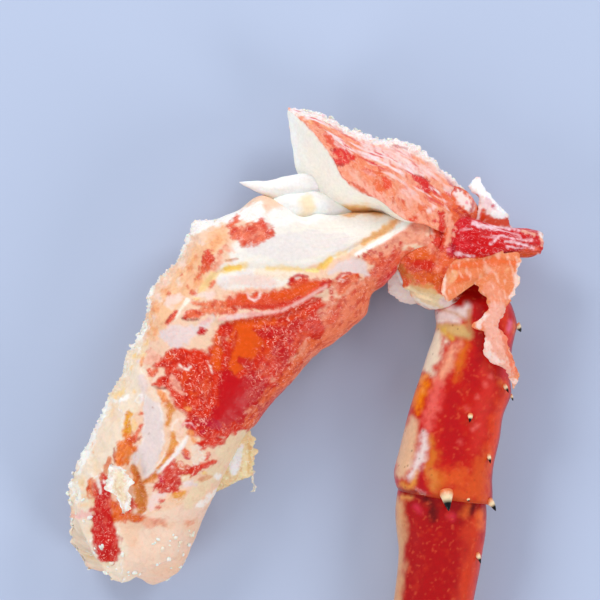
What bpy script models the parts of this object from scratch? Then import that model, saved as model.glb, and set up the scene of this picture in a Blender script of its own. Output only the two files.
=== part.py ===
"""King crab leg, part shelled, lying on its side: X and Y span the plane of the bent leg, and Z is up.

The thigh (merus) is bare meat torn open at the knee.
The two shells below the knee (carpus and propodus) and the claw (dactyl) are still on.
Every piece is a loft between two edges, which are its outline as seen from above.
Outlines and depths are in millimetres.
The origin is at the middle of the leg's box, on the surface that it lies on.
"""

import math

import bmesh
import bpy
from mathutils import Vector

MM = 0.001
GAP = 0.35  # clearance left between pieces that touch
DOME = 0.6  # how far an end stands out past its last ring
MERGE = 0.00002  # metres: points that fall together on the surface that the leg lies on
CREASE_MIDDLE = 0.5
ROUNDNESS = 2.3  # exponent of a section: 2 is an ellipse, more is fuller
SKIN_SWELL = 0.65  # below 1, the skin side of the torn flap bulges
TORN_HOLLOW = 1.25  # above 1, the torn side of the flap is hollow
TORN_TEETH = 3  # how many times the torn end of the meat goes in and out around
TORN_REACH = 6  # the higher, the nearer to the end the tear stays
SPINE_SIDES = 5
SPINE_TIP = 0.12
SPINE_LEAN = 0.75  # how much a spine points along the leg, against straight out

MEAT_WHITE = (0.83, 0.74, 0.62)
MEAT_RED = (0.72, 0.10, 0.04)
MEAT_PINK = (0.83, 0.36, 0.22)
MEMBRANE_CREAM = (0.84, 0.70, 0.48)
SHELL_RED = (0.62, 0.05, 0.02)
CLAW_DARK = (0.20, 0.04, 0.02)


def clear_scene():
    for obj in list(bpy.data.objects):
        bpy.data.objects.remove(obj)


def finish(name, colour, roughness):
    material = bpy.data.materials.new(name)
    material.use_nodes = True
    shader = material.node_tree.nodes["Principled BSDF"]
    shader.inputs["Base Color"].default_value = (*colour, 1.0)
    shader.inputs["Roughness"].default_value = roughness
    shader.inputs["Metallic"].default_value = 0.0
    return material


def row_at(rows, share):
    """The row at that share of the way along, on a Catmull-Rom curve through all the rows."""
    place = share * (len(rows) - 1)
    i = min(int(place), len(rows) - 2)
    t = place - i
    before, here, there, after = (rows[min(max(i + k, 0), len(rows) - 1)] for k in (-1, 0, 1, 2))
    return [
        0.5 * (2 * b + (c - a) * t + (2 * a - 5 * b + 4 * c - d) * t**2 + (3 * b - a - 3 * c + d) * t**3)
        for a, b, c, d in zip(before, here, there, after)
    ]


def round_rise(share):
    """Height across a rounded section, as a share of its rise."""
    return (1 - abs(2 * share - 1) ** ROUNDNESS) ** (1 / ROUNDNESS)


def roof_rise(share):
    """Height across the torn slab: it climbs to its crease, then hollows down to the other edge."""
    if share < CREASE_MIDDLE:
        return (share / CREASE_MIDDLE) ** SKIN_SWELL
    return ((1 - share) / (1 - CREASE_MIDDLE)) ** TORN_HOLLOW


def surface_point(rows, share, angle, rise=round_rise, relief=None):
    """A point of a loft, on the section at that share along, at that angle round from edge A."""
    ax, ay, bx, by, middle, up, down, *fold = row_at(rows, share)
    crease = fold[0] if fold else CREASE_MIDDLE
    evenly = (1 - math.cos(angle)) / 2
    if evenly < CREASE_MIDDLE:
        across = crease * evenly / CREASE_MIDDLE
    else:
        across = 1 - (1 - crease) * (1 - evenly) / (1 - CREASE_MIDDLE)
    x = ax + (bx - ax) * across
    y = ay + (by - ay) * across
    if math.sin(angle) < 0:
        return Vector((x, y, max(middle - down * round_rise(evenly), 0.0)))
    z = middle + up * rise(evenly)
    if relief:
        z += relief(x, y) * math.sin(angle)
    return Vector((x, y, z))


def loft(name, rows, rings, sides, material, rise=round_rise, relief=None, torn=0.0):
    """A closed body through the rows, with a ring of points at each step and a low dome on both ends.

    Torn is how far back the last ring is ripped in places, as a share of the length.
    """
    mesh_maker = bmesh.new()
    loops = []
    for i in range(rings + 1):
        loop = []
        for k in range(sides):
            angle = 2 * math.pi * k / sides
            rip = torn * (i / rings) ** TORN_REACH * (1 + math.sin(TORN_TEETH * angle)) / 2
            point = surface_point(rows, i / rings - rip, angle, rise, relief)
            loop.append(mesh_maker.verts.new(point * MM))
        loops.append(loop)
    for here, there in zip(loops, loops[1:]):
        for k in range(sides):
            after = (k + 1) % sides
            mesh_maker.faces.new((here[k], here[after], there[after], there[k]))
    for end, inner in ((loops[0], loops[1]), (loops[-1], loops[-2])):
        middle = sum((v.co for v in end), Vector()) / sides
        inward = sum((v.co for v in inner), Vector()) / sides - middle
        tip = mesh_maker.verts.new(middle - inward.normalized() * DOME * MM)
        tip.co.z = max(tip.co.z, 0.0)
        for k in range(sides):
            mesh_maker.faces.new((end[k], end[(k + 1) % sides], tip))
    bmesh.ops.remove_doubles(mesh_maker, verts=mesh_maker.verts, dist=MERGE)
    bmesh.ops.recalc_face_normals(mesh_maker, faces=mesh_maker.faces)
    return object_from(name, mesh_maker, material)


def object_from(name, mesh_maker, material):
    mesh = bpy.data.meshes.new(name)
    mesh_maker.to_mesh(mesh)
    mesh_maker.free()
    mesh.materials.append(material)
    mesh.shade_smooth()
    mesh.set_sharp_from_angle(angle=math.radians(50))
    obj = bpy.data.objects.new(name, mesh)
    bpy.context.collection.objects.link(obj)
    return obj


def make_helper(obj):
    obj.hide_render = True
    obj.display_type = "WIRE"


def carve(obj, neighbour):
    """Cuts obj back from the neighbour's own shape, grown by the clearance."""
    name = neighbour.name + "_room"
    cutter = bpy.data.objects.get(name)
    if cutter is None:
        cutter = bpy.data.objects.new(name, neighbour.data.copy())
        bpy.context.collection.objects.link(cutter)
        grown = cutter.modifiers.new("clearance", "DISPLACE")
        grown.strength = GAP * MM
        grown.mid_level = 0.0
        make_helper(cutter)
    cut = obj.modifiers.new("room for " + neighbour.name, "BOOLEAN")
    cut.operation = "DIFFERENCE"
    cut.object = cutter


def grow_spines(shell, rows, places, material):
    """Pointed spines that are one piece with the shell. Each place is share along, angle, length and radius."""
    mesh_maker = bmesh.new()
    for share, degrees, length, radius in places:
        angle = math.radians(degrees)
        base = surface_point(rows, share, angle)
        along = surface_point(rows, min(share + 0.02, 1.0), angle) - surface_point(rows, share - 0.02, angle)
        around = surface_point(rows, share, angle + 0.1) - surface_point(rows, share, angle - 0.1)
        outward = along.cross(around).normalized()
        centre = sum((surface_point(rows, share, k * math.pi / 2) for k in range(4)), Vector()) / 4
        if outward.dot(base - centre) < 0:
            outward = -outward
        axis = (outward + SPINE_LEAN * along.normalized()).normalized()
        made = bmesh.ops.create_cone(
            mesh_maker,
            cap_ends=True,
            segments=SPINE_SIDES,
            radius1=radius * MM,
            radius2=SPINE_TIP * MM,
            depth=(length + radius) * MM,
        )
        turn = axis.to_track_quat("Z", "Y").to_matrix()
        middle = base + axis * (length - radius) / 2
        for vert in made["verts"]:
            vert.co = turn @ vert.co + middle * MM
    spines = object_from(shell.name + "_spines", mesh_maker, material)
    make_helper(spines)
    union = shell.modifiers.new("spines", "BOOLEAN")
    union.operation = "UNION"
    union.object = spines


def distance_to_line(x, y, line):
    """Shortest way from a point to a line of several points."""
    best = 1e9
    for (ax, ay), (bx, by) in zip(line, line[1:]):
        dx, dy = bx - ax, by - ay
        share = min(max(((x - ax) * dx + (y - ay) * dy) / (dx * dx + dy * dy), 0.0), 1.0)
        best = min(best, math.hypot(x - ax - share * dx, y - ay - share * dy))
    return best


# ---------------------------------------------------------------- thigh meat

# Each row of a loft is edge A x y, edge B x y, middle height, rise and drop, from the knee outwards.
# Edge A is the outer side of the bend, and edge B the inner side.
MERUS = (
    (43.0, 110.0, 43.0, 103.5, 15.0, 5.5, 6.0),
    (32.0, 112.5, 33.0, 101.5, 15.5, 8.0, 9.0),
    (20.5, 113.5, 28.5, 94.5, 16.0, 10.5, 12.5),
    (9.0, 113.5, 22.5, 89.5, 16.5, 12.5, 15.0),
    (-1.5, 115.0, 19.0, 82.0, 17.0, 14.5, 16.5),
    (-11.0, 120.0, 12.0, 76.5, 17.5, 15.5, 17.8),
    (-21.0, 116.0, 5.0, 70.0, 17.5, 16.5, 18.0),
    (-34.0, 113.0, -2.0, 61.5, 17.5, 17.0, 18.1),
    (-43.0, 101.0, -11.0, 52.0, 17.5, 17.0, 18.1),
    (-50.0, 87.5, -17.5, 44.0, 17.0, 16.5, 17.8),
    (-55.5, 72.0, -22.0, 35.5, 17.0, 16.0, 17.8),
    (-63.5, 54.5, -27.0, 26.0, 16.5, 15.5, 17.2),
    (-70.0, 41.0, -31.0, 17.5, 16.0, 15.0, 16.6),
    (-76.5, 27.5, -34.5, 9.0, 15.5, 14.0, 16.0),
    (-76.0, 11.0, -39.0, 0.0, 15.0, 12.5, 14.5),
    (-71.0, 0.5, -47.0, -6.0, 14.0, 9.5, 11.5),
)
MERUS_TEAR = 0.07  # share of its length that the torn end goes in and out by
TORN_CREVICE = ((-29.0, 97.0), (-13.5, 98.0), (0.0, 97.5), (10.5, 99.5), (18.5, 103.5), (31.0, 110.5))
FOLD_RIDGE = ((-27.5, 82.0), (-17.0, 84.0), (-5.5, 85.0), (3.0, 88.5), (8.5, 92.0))
LOOSE_POCKET = ((-52.0, 48.0), (-48.0, 36.0), (-51.0, 26.0))


# the lines above, each with how far the meat rises along it and how wide
MERUS_FOLDS = ((TORN_CREVICE, -3.2, 3.2), (FOLD_RIDGE, 1.6, 2.2), (LOOSE_POCKET, -2.4, 4.5))


def merus_relief(x, y):
    """The crevice where the torn muscle parts, the fold of skin below it, and the pocket near the torn end."""
    return sum(
        height * math.exp(-((distance_to_line(x, y, line) / width) ** 2))
        for line, height, width in MERUS_FOLDS
    )


def make_merus(material):
    return loft("merus_meat", MERUS, 40, 26, material, relief=merus_relief, torn=MERUS_TEAR)


# ---------------------------------------------------------------- torn flap, lobe and shard

# Edge A is the flap's top ridge, and edge B its torn border.
# The last number is how far across the crease lies between its skin and its torn face.
FLAP = (
    (54.0, 119.0, 46.0, 107.5, 17.0, 6.5, 5.0, 0.90),
    (44.0, 130.0, 39.5, 108.0, 17.0, 10.0, 7.0, 0.86),
    (38.0, 135.5, 31.5, 111.0, 17.0, 12.5, 8.5, 0.84),
    (31.5, 138.5, 24.0, 115.0, 17.0, 14.0, 9.5, 0.78),
    (25.0, 139.0, 15.5, 114.0, 17.0, 14.5, 10.0, 0.64),
    (18.5, 141.0, 7.5, 114.5, 17.0, 14.0, 9.5, 0.54),
    (14.0, 142.5, 3.0, 120.5, 17.0, 13.0, 8.5, 0.43),
    (6.5, 147.0, -1.5, 128.5, 17.0, 10.5, 6.5, 0.35),
    (1.0, 148.2, -3.0, 137.0, 17.0, 7.0, 4.5, 0.30),
    (-4.0, 149.0, -4.3, 145.5, 17.0, 1.8, 1.2, 0.30),
)
SHARD = (
    (4.0, 128.5, 4.0, 124.0, 17.0, 2.6, 2.2),
    (-0.5, 127.5, -0.5, 124.0, 17.5, 2.4, 2.0),
    (-5.0, 126.5, -4.5, 123.0, 18.0, 2.2, 1.8),
    (-11.0, 125.5, -11.0, 120.5, 18.0, 2.2, 1.8),
    (-15.0, 125.5, -15.0, 122.0, 18.0, 1.7, 1.4),
    (-19.5, 125.1, -19.0, 124.5, 17.5, 0.5, 0.5),
)
LOBE = (
    (14.0, 121.0, 16.5, 113.5, 15.0, 4.5, 5.0),
    (5.0, 122.5, 6.5, 112.5, 16.0, 7.5, 7.5),
    (0.5, 122.2, 0.0, 111.5, 16.5, 8.5, 8.0),
    (-4.5, 122.0, -5.0, 112.0, 16.0, 8.0, 7.5),
    (-9.5, 120.3, -9.5, 113.5, 15.0, 6.0, 6.0),
    (-13.0, 119.0, -13.0, 115.5, 14.0, 3.0, 3.0),
)


def make_flap(material):
    return loft("torn_flap", FLAP, 18, 20, material, rise=roof_rise)


def make_shard(material):
    return loft("meat_shard", SHARD, 10, 8, material)


def make_lobe(material):
    return loft("inner_lobe", LOBE, 10, 14, material)


# ---------------------------------------------------------------- knee: knuckle, skin roll and torn bits

KNUCKLE = (
    (48.0, 124.5, 54.5, 121.0, 17.0, 4.0, 5.0),
    (43.5, 119.5, 57.0, 115.5, 15.5, 8.5, 8.5),
    (41.0, 113.0, 56.0, 108.5, 14.5, 10.5, 11.0),
    (37.5, 107.0, 55.0, 102.0, 14.0, 11.5, 13.0),
    (32.0, 102.0, 54.0, 96.0, 14.0, 11.5, 13.5),
    (30.0, 97.0, 53.5, 91.5, 13.5, 11.0, 13.2),
    (33.0, 92.0, 55.0, 89.0, 13.0, 10.5, 12.0),
    (38.5, 88.6, 57.0, 87.6, 13.0, 9.0, 10.0),
)
ROLL = (
    (47.0, 115.0, 46.5, 98.0, 21.0, 6.5, 6.0),
    (53.0, 113.5, 53.0, 97.5, 20.5, 8.5, 8.0),
    (60.0, 111.5, 61.5, 98.5, 19.5, 8.0, 8.0),
    (67.0, 110.0, 68.0, 100.0, 19.0, 6.5, 6.5),
    (73.0, 109.2, 73.5, 101.0, 18.5, 5.0, 5.0),
    (77.2, 108.7, 76.7, 102.0, 18.5, 3.6, 3.6),
)
SKIN = (
    (47.0, 96.0, 69.5, 99.0, 25.0, 0.9, 0.9),
    (45.5, 91.5, 69.3, 96.5, 26.2, 0.9, 0.9),
    (46.0, 87.5, 69.5, 94.0, 27.0, 0.9, 0.9),
    (49.0, 88.0, 69.2, 92.0, 27.4, 0.9, 0.9),
    (51.5, 91.0, 68.5, 90.5, 27.6, 0.9, 0.9),
    (54.0, 92.8, 67.0, 88.5, 27.8, 0.9, 0.9),
    (56.5, 88.8, 65.5, 86.5, 28.0, 0.9, 0.9),
    (58.0, 85.0, 63.8, 84.0, 28.2, 0.9, 0.9),
    (56.5, 82.0, 62.5, 81.5, 28.4, 0.9, 0.9),
    (55.5, 79.0, 63.5, 78.0, 28.6, 0.9, 0.9),
    (57.5, 75.0, 64.5, 74.0, 28.6, 0.9, 0.9),
    (58.0, 70.5, 66.0, 70.0, 28.4, 0.9, 0.9),
    (61.0, 67.0, 67.5, 66.0, 27.8, 0.8, 0.8),
    (64.5, 64.5, 69.0, 62.5, 26.8, 0.7, 0.7),
    (67.2, 60.0, 68.0, 59.8, 26.0, 0.4, 0.4),
)
FLAKE = (
    (55.5, 113.5, 67.0, 112.0, 17.5, 2.2, 2.4),
    (57.0, 117.0, 66.0, 115.5, 18.0, 2.2, 2.2),
    (56.5, 120.5, 63.5, 118.5, 18.5, 1.8, 1.8),
    (54.5, 123.5, 60.0, 123.0, 18.5, 1.4, 1.4),
    (55.5, 126.3, 57.3, 126.3, 18.0, 0.6, 0.6),
)
CHIP = (
    (28.0, 98.5, 30.5, 97.5, 18.5, 0.8, 0.8),
    (27.0, 94.0, 31.5, 93.5, 18.5, 1.0, 1.0),
    (28.0, 90.0, 34.0, 90.0, 18.0, 1.0, 1.0),
    (31.0, 87.2, 37.5, 87.8, 17.0, 1.0, 1.0),
    (34.0, 86.0, 37.0, 86.2, 16.0, 0.7, 0.7),
)


def make_knuckle(material):
    return loft("knee_knuckle", KNUCKLE, 14, 20, material)


def make_roll(material):
    return loft("skin_roll", ROLL, 12, 14, material)


def make_skin(material):
    return loft("hanging_skin", SKIN, 28, 10, material)


def make_flake(material):
    return loft("joint_flake", FLAKE, 10, 8, material)


def make_chip(material):
    return loft("joint_chip", CHIP, 10, 8, material)


# ---------------------------------------------------------------- shells and claw

CARPUS = (
    (44.0, 88.0, 64.5, 89.0, 13.0, 9.0, 9.5),
    (42.0, 83.5, 67.0, 86.0, 13.2, 11.5, 12.0),
    (41.5, 78.0, 68.0, 79.5, 13.5, 12.5, 13.2),
    (40.0, 71.5, 67.5, 71.5, 13.5, 12.8, 13.8),
    (38.0, 63.5, 67.0, 63.5, 13.5, 12.8, 13.9),
    (35.5, 56.0, 66.5, 56.0, 13.5, 12.8, 13.9),
    (34.0, 50.5, 64.5, 50.5, 13.5, 12.8, 13.9),
    (32.5, 44.0, 63.5, 43.5, 13.5, 13.0, 13.9),
    (31.0, 38.0, 62.0, 36.0, 13.5, 13.2, 13.9),
    (29.5, 32.5, 61.0, 30.0, 13.8, 13.6, 14.2),
    (30.0, 28.5, 61.0, 25.0, 13.8, 13.8, 14.2),
    (31.0, 26.5, 61.0, 22.0, 13.8, 13.4, 13.8),
)
# Each spine is its share along the shell, its angle round from edge A, its length and its radius.
CARPUS_SPINES = (
    (0.22, 178.0, 3.6, 1.7),
    (0.44, 150.0, 3.4, 1.4),
    (0.45, 172.0, 3.2, 1.4),
    (0.56, 106.0, 3.4, 1.5),
    (0.72, 140.0, 3.2, 1.3),
    (0.95, 92.0, 4.6, 2.0),
    (0.95, 152.0, 5.0, 1.8),
    (0.93, 200.0, 4.2, 1.7),
    (0.60, 205.0, 3.4, 1.5),
)
PROPODUS = (
    (32.0, 30.5, 58.5, 27.0, 12.4, 11.0, 11.4),
    (30.5, 25.0, 59.3, 21.0, 12.5, 11.6, 12.4),
    (30.0, 17.5, 59.0, 12.5, 12.5, 11.8, 12.9),
    (31.0, 5.0, 57.0, 0.5, 12.2, 11.6, 12.6),
    (29.0, -13.0, 53.5, -17.5, 11.8, 11.2, 12.2),
    (25.0, -31.0, 48.5, -37.0, 11.2, 10.6, 11.6),
    (20.0, -49.0, 42.0, -56.0, 10.6, 10.0, 11.0),
    (15.0, -65.5, 35.0, -73.5, 9.8, 9.4, 10.2),
    (10.0, -78.0, 29.0, -86.5, 9.4, 9.2, 9.8),
    (8.0, -82.5, 27.0, -91.5, 9.4, 8.8, 9.6),
)
PROPODUS_SPINES = (
    (0.30, 150.0, 3.2, 1.4),
    (0.46, 176.0, 3.2, 1.4),
    (0.42, 100.0, 3.0, 1.3),
    (0.62, 140.0, 3.0, 1.3),
    (0.78, 172.0, 3.0, 1.3),
    (0.95, 95.0, 3.6, 1.5),
    (0.95, 165.0, 3.8, 1.5),
    (0.55, 205.0, 3.0, 1.3),
    (0.52, 20.0, 2.6, 1.2),
    (0.90, 25.0, 3.0, 1.3),
)
DACTYL = (
    (11.5, -85.0, 23.5, -91.0, 8.6, 6.0, 6.6),
    (8.5, -89.5, 22.5, -96.5, 8.6, 7.0, 8.0),
    (4.5, -97.5, 18.0, -105.5, 8.2, 6.8, 7.8),
    (-2.5, -110.5, 8.5, -120.0, 7.4, 5.8, 7.0),
    (-11.0, -122.5, -2.5, -131.5, 6.4, 4.8, 6.2),
    (-20.5, -133.0, -14.5, -140.5, 5.4, 3.6, 5.2),
    (-30.0, -141.5, -27.0, -146.5, 4.4, 2.2, 2.6),
    (-38.5, -147.8, -38.2, -148.8, 3.6, 0.5, 0.6),
)


def make_shell(name, rows, rings, sides, spines, material):
    """A leg segment in its shell, with its meat inside, so it is one solid."""
    shell = loft(name, rows, rings, sides, material)
    grow_spines(shell, rows, spines, material)
    return shell


# ---------------------------------------------------------------- loose membrane on the thigh

FRILL = (
    (-24.0, 44.5, -16.5, 46.0, 15.0, 1.0, 1.0),
    (-25.5, 39.0, -14.8, 42.0, 15.5, 1.1, 1.1),
    (-27.0, 34.5, -15.0, 36.0, 16.0, 1.1, 1.1),
    (-29.0, 30.5, -17.0, 31.0, 16.0, 1.1, 1.1),
    (-31.5, 26.0, -24.0, 27.0, 15.5, 1.0, 1.0),
    (-34.0, 21.5, -30.0, 22.0, 15.0, 0.8, 0.8),
)
LOOSE_FLAKE = (
    (-61.0, 35.5, -58.0, 35.5, 33.2, 0.5, 0.5),
    (-60.5, 32.5, -55.0, 32.5, 33.4, 0.7, 0.7),
    (-61.5, 28.0, -54.0, 28.0, 33.2, 0.7, 0.7),
    (-60.0, 25.5, -54.0, 24.5, 32.8, 0.7, 0.7),
    (-57.5, 22.5, -54.5, 22.0, 32.0, 0.6, 0.6),
    (-56.7, 20.0, -55.7, 20.0, 31.4, 0.4, 0.4),
)


def make_frill(material):
    return loft("membrane_frill", FRILL, 12, 8, material)


def make_loose_flake(material):
    return loft("loose_flake", LOOSE_FLAKE, 10, 8, material)


def main():
    clear_scene()
    white = finish("meat_white", MEAT_WHITE, 0.4)
    red = finish("meat_red", MEAT_RED, 0.35)
    pink = finish("skin_pink", MEAT_PINK, 0.35)
    cream = finish("membrane_cream", MEMBRANE_CREAM, 0.45)
    shell_red = finish("shell_red", SHELL_RED, 0.3)
    claw_dark = finish("claw_dark", CLAW_DARK, 0.3)

    merus = make_merus(red)
    knuckle = make_knuckle(red)
    flap = make_flap(pink)
    shard = make_shard(white)
    lobe = make_lobe(white)
    roll = make_roll(red)
    skin = make_skin(pink)
    flake = make_flake(cream)
    chip = make_chip(cream)
    carpus = make_shell("carpus_shell", CARPUS, 20, 22, CARPUS_SPINES, shell_red)
    propodus = make_shell("propodus_shell", PROPODUS, 20, 20, PROPODUS_SPINES, shell_red)
    dactyl = loft("dactyl_claw", DACTYL, 14, 14, claw_dark)
    frill = make_frill(cream)
    loose_flake = make_loose_flake(cream)

    room = (
        (knuckle, (merus, carpus)),
        (flap, (merus, knuckle)),
        (lobe, (merus, flap)),
        (shard, (flap, lobe, merus)),
        (roll, (knuckle, merus, flap)),
        (skin, (roll, knuckle, carpus)),
        (flake, (roll, knuckle, flap)),
        (chip, (knuckle, merus, carpus)),
        (propodus, (carpus, dactyl)),
        (frill, (merus,)),
        (loose_flake, (merus,)),
    )
    for obj, neighbours in room:
        for neighbour in neighbours:
            carve(obj, neighbour)


main()
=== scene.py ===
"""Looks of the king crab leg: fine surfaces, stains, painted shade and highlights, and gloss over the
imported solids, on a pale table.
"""

import bpy
import numpy as np
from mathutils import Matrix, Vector


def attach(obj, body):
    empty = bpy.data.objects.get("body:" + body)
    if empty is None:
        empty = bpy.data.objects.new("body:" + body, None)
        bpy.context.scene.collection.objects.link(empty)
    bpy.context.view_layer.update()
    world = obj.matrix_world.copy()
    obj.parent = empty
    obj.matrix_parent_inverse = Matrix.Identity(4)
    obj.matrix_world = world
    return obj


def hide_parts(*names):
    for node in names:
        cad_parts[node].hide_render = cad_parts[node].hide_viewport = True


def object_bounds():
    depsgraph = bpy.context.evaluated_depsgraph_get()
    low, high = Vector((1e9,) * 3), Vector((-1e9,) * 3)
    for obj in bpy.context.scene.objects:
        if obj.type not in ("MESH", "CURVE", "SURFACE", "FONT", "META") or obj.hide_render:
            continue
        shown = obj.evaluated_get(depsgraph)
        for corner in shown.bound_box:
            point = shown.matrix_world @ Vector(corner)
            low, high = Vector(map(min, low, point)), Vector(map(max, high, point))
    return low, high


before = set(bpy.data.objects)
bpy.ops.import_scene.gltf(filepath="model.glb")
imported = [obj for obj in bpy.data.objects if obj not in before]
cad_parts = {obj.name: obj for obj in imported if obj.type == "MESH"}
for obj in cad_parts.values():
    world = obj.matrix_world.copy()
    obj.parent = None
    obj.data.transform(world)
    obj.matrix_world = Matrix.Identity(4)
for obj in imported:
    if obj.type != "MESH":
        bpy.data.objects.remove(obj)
cad_low, cad_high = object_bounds()

# ------------------------------------------------------------------ thigh meat
# The thigh (merus) is one bundle of white muscle in a wet skin that keeps the shell's red pigment.
# It was pulled from its shell, so it is torn open at the knee and frayed along its outer side.
# It is grown to the knee, and rests on its underside.

MM = 0.001  # rows, strokes and reliefs are in millimetres

# Sections from the knee to the torn end: outer edge x y, inner edge x y, middle height, rise, drop.
THIGH = np.array((
    (44.0, 108.6, 42.5, 102.0, 15.0, 9.3, 6.0),
    (33.0, 112.0, 34.0, 100.5, 15.5, 10.0, 9.0),
    (20.5, 113.3, 28.5, 94.5, 16.0, 11.0, 12.5),
    (9.0, 113.5, 22.5, 89.5, 16.5, 12.0, 15.0),
    (-1.5, 115.5, 19.8, 82.5, 17.0, 14.0, 16.5),
    (-12.0, 120.5, 13.0, 76.8, 17.5, 15.2, 17.8),
    (-22.0, 115.6, 4.5, 70.5, 17.5, 16.0, 18.0),
    (-29.0, 112.6, 0.8, 66.2, 17.5, 16.1, 18.0),
    (-34.6, 112.8, -3.0, 61.8, 17.5, 16.2, 18.1),
    (-36.8, 107.5, -7.3, 57.2, 17.5, 16.2, 18.1),
    (-40.3, 100.5, -11.5, 52.5, 17.5, 16.2, 18.1),
    (-44.8, 95.5, -14.3, 48.8, 17.3, 16.0, 18.0),
    (-49.8, 89.0, -17.3, 45.3, 17.0, 15.8, 17.8),
    (-49.8, 83.0, -19.2, 42.2, 17.0, 15.7, 17.8),
    (-52.2, 76.5, -21.3, 38.5, 17.0, 15.5, 17.8),
    (-56.0, 70.5, -23.5, 34.5, 17.0, 15.3, 17.7),
    (-58.0, 63.5, -25.8, 30.2, 16.8, 15.0, 17.5),
    (-62.6, 55.0, -27.8, 26.2, 16.5, 14.8, 17.2),
    (-69.0, 41.0, -31.5, 18.0, 16.0, 14.3, 16.6),
    (-74.3, 27.5, -35.0, 9.5, 15.5, 13.2, 16.0),
    (-74.0, 11.0, -39.5, 0.5, 15.0, 11.8, 14.5),
    (-69.5, 1.0, -47.0, -4.6, 14.0, 9.0, 11.5),
))


def sections_at(rows, along):
    """The sections at those shares along, on a Catmull-Rom curve: four rows blended by cubics in t."""
    place = np.clip(along, 0, 1) * (len(rows) - 1)
    first = np.minimum(place.astype(int), len(rows) - 2)
    t = (place - first)[..., None]
    a, b, c, d = (rows[np.clip(first + k, 0, len(rows) - 1)] for k in (-1, 0, 1, 2))
    return 0.5 * (2 * b + (c - a) * t + (2 * a - 5 * b + 4 * c - d) * t**2 + (3 * b - a - 3 * c + d) * t**3)


def full_round(share):
    """Height across a rounded section, as a share of its rise: the superellipse with exponent 2.3."""
    return (1 - np.abs(2 * share - 1) ** 2.3) ** (1 / 2.3)


def skin_surface(rows, rings, sides, top_share=0.68, rise=full_round, torn=0.0, ends=(0.6, 0.6), steps=5):
    """Points of a closed tube in millimetres, ring by ring, and how far along, across and up each one is.

    A ring runs from the outer edge over the top to the inner edge and back underneath. Its point at angle q
    lies (1 - cos q) / 2 across, and rise() of that above the middle, or full_round() of it below. More sides
    lie on top. An eighth column in the rows moves the middle of the section across, where the surface has its
    crease.
    """
    along = np.linspace(0, 1, rings)[:, None]
    turn = np.arange(sides)[None, :] / sides
    angle = np.where(turn < top_share, turn / top_share, 1 + (turn - top_share) / (1 - top_share)) * np.pi
    along = along - torn * along**6 * (1 + np.sin(3 * angle)) / 2
    along = np.broadcast_to(along, (rings, sides))
    s = sections_at(rows, along)
    across = (1 - np.cos(angle)) / 2 + 0 * along
    place = across
    if rows.shape[1] == 8:
        place = np.where(across < 0.5, s[..., 7] * across * 2, 1 - (1 - s[..., 7]) * (1 - across) * 2)
    x = s[..., 0] + (s[..., 2] - s[..., 0]) * place
    y = s[..., 1] + (s[..., 3] - s[..., 1]) * place
    z = s[..., 4] + np.where(np.sin(angle) >= 0, s[..., 5] * rise(across), -s[..., 6] * full_round(across))
    points = rounded_off(np.stack((x, y, z), -1), steps, ends)
    upward = rounded_off(np.sin(angle) + 0 * along, steps)
    return points, rounded_off(along, steps), rounded_off(across, steps), upward


def outward(points):
    """Unit normals of a tube of rings: the cross product of the steps along it and around it."""
    down = np.gradient(points, axis=0)
    around = np.roll(points, -1, 1) - np.roll(points, 1, 1)
    normal = np.cross(around, down)
    normal /= np.linalg.norm(normal, axis=-1, keepdims=True) + 1e-9
    centre = points.mean(1, keepdims=True)
    side = np.sign(((points - centre) * normal).sum())
    return normal * side


def scrambled(corner, seed, shift):
    """A random-looking whole number of 32 bits for each corner: its parts times large odd numbers are summed,
    and the bits of the sum are folded over themselves twice."""
    mixed = (corner * (73856093, 19349663, 83492791)).sum(-1) + seed * 2654435761
    mixed = (mixed ^ (mixed >> 13)) * 1274126177 & 0xFFFFFFFF
    return mixed ^ (mixed >> shift)


def grain(points, cell, seed=0):
    """Smooth noise from about -1 to 1: the corners of a grid of cubes pull up or down along directions of
    their own, picked by mixing the corner's whole numbers, and the eight pulls are blended with the curve
    6t^5 - 15t^4 + 10t^3."""
    place = points / cell + 17.3 * seed
    corner = np.floor(place).astype(np.int64)
    part = place - corner
    ease = part**3 * (part * (part * 6 - 15) + 10)
    total = np.zeros(points.shape[:-1])
    for n in range(8):
        step = np.array((n & 1, n >> 1 & 1, n >> 2 & 1))
        mixed = scrambled(corner + step, seed, 16)
        lift = (mixed & 1023) / 511.5 - 1
        turn = (mixed >> 10 & 1023) / 1024 * 2 * np.pi
        flat = np.sqrt(1 - lift**2)
        away = part - step
        pull = away[..., 0] * flat * np.cos(turn) + away[..., 1] * flat * np.sin(turn) + away[..., 2] * lift
        total += pull * np.where(step, ease, 1 - ease).prod(-1)
    return total * 1.7


def layered(points, cell, layers=3, seed=0):
    """Sum of grains, each with half the cell and half the height of the one before."""
    return sum(grain(points, cell / 2**k, seed + k) / 2**k for k in range(layers))


def lumps(points, cell, seed=0):
    """How far each point is from the nearest and from the second nearest of one random point in each cube of
    a grid, in cells. The first is 0 at a lump's middle, and the two are the same in the crack between two
    lumps."""
    place = points / cell + 31.7 * seed
    corner = np.floor(place).astype(np.int64)
    nearest = np.full(points.shape[:-1], 9.0)
    second = nearest.copy()
    for n in range(27):
        box = corner + (n % 3 - 1, n // 3 % 3 - 1, n // 9 - 1)
        mixed = scrambled(box, seed, 15)
        spot = np.stack((mixed & 1023, mixed >> 10 & 1023, mixed >> 20 & 1023), -1) / 1024
        away = np.linalg.norm(box + spot - place, axis=-1)
        second = np.minimum(second, np.maximum(away, nearest))
        nearest = np.minimum(nearest, away)
    return nearest, second


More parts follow.
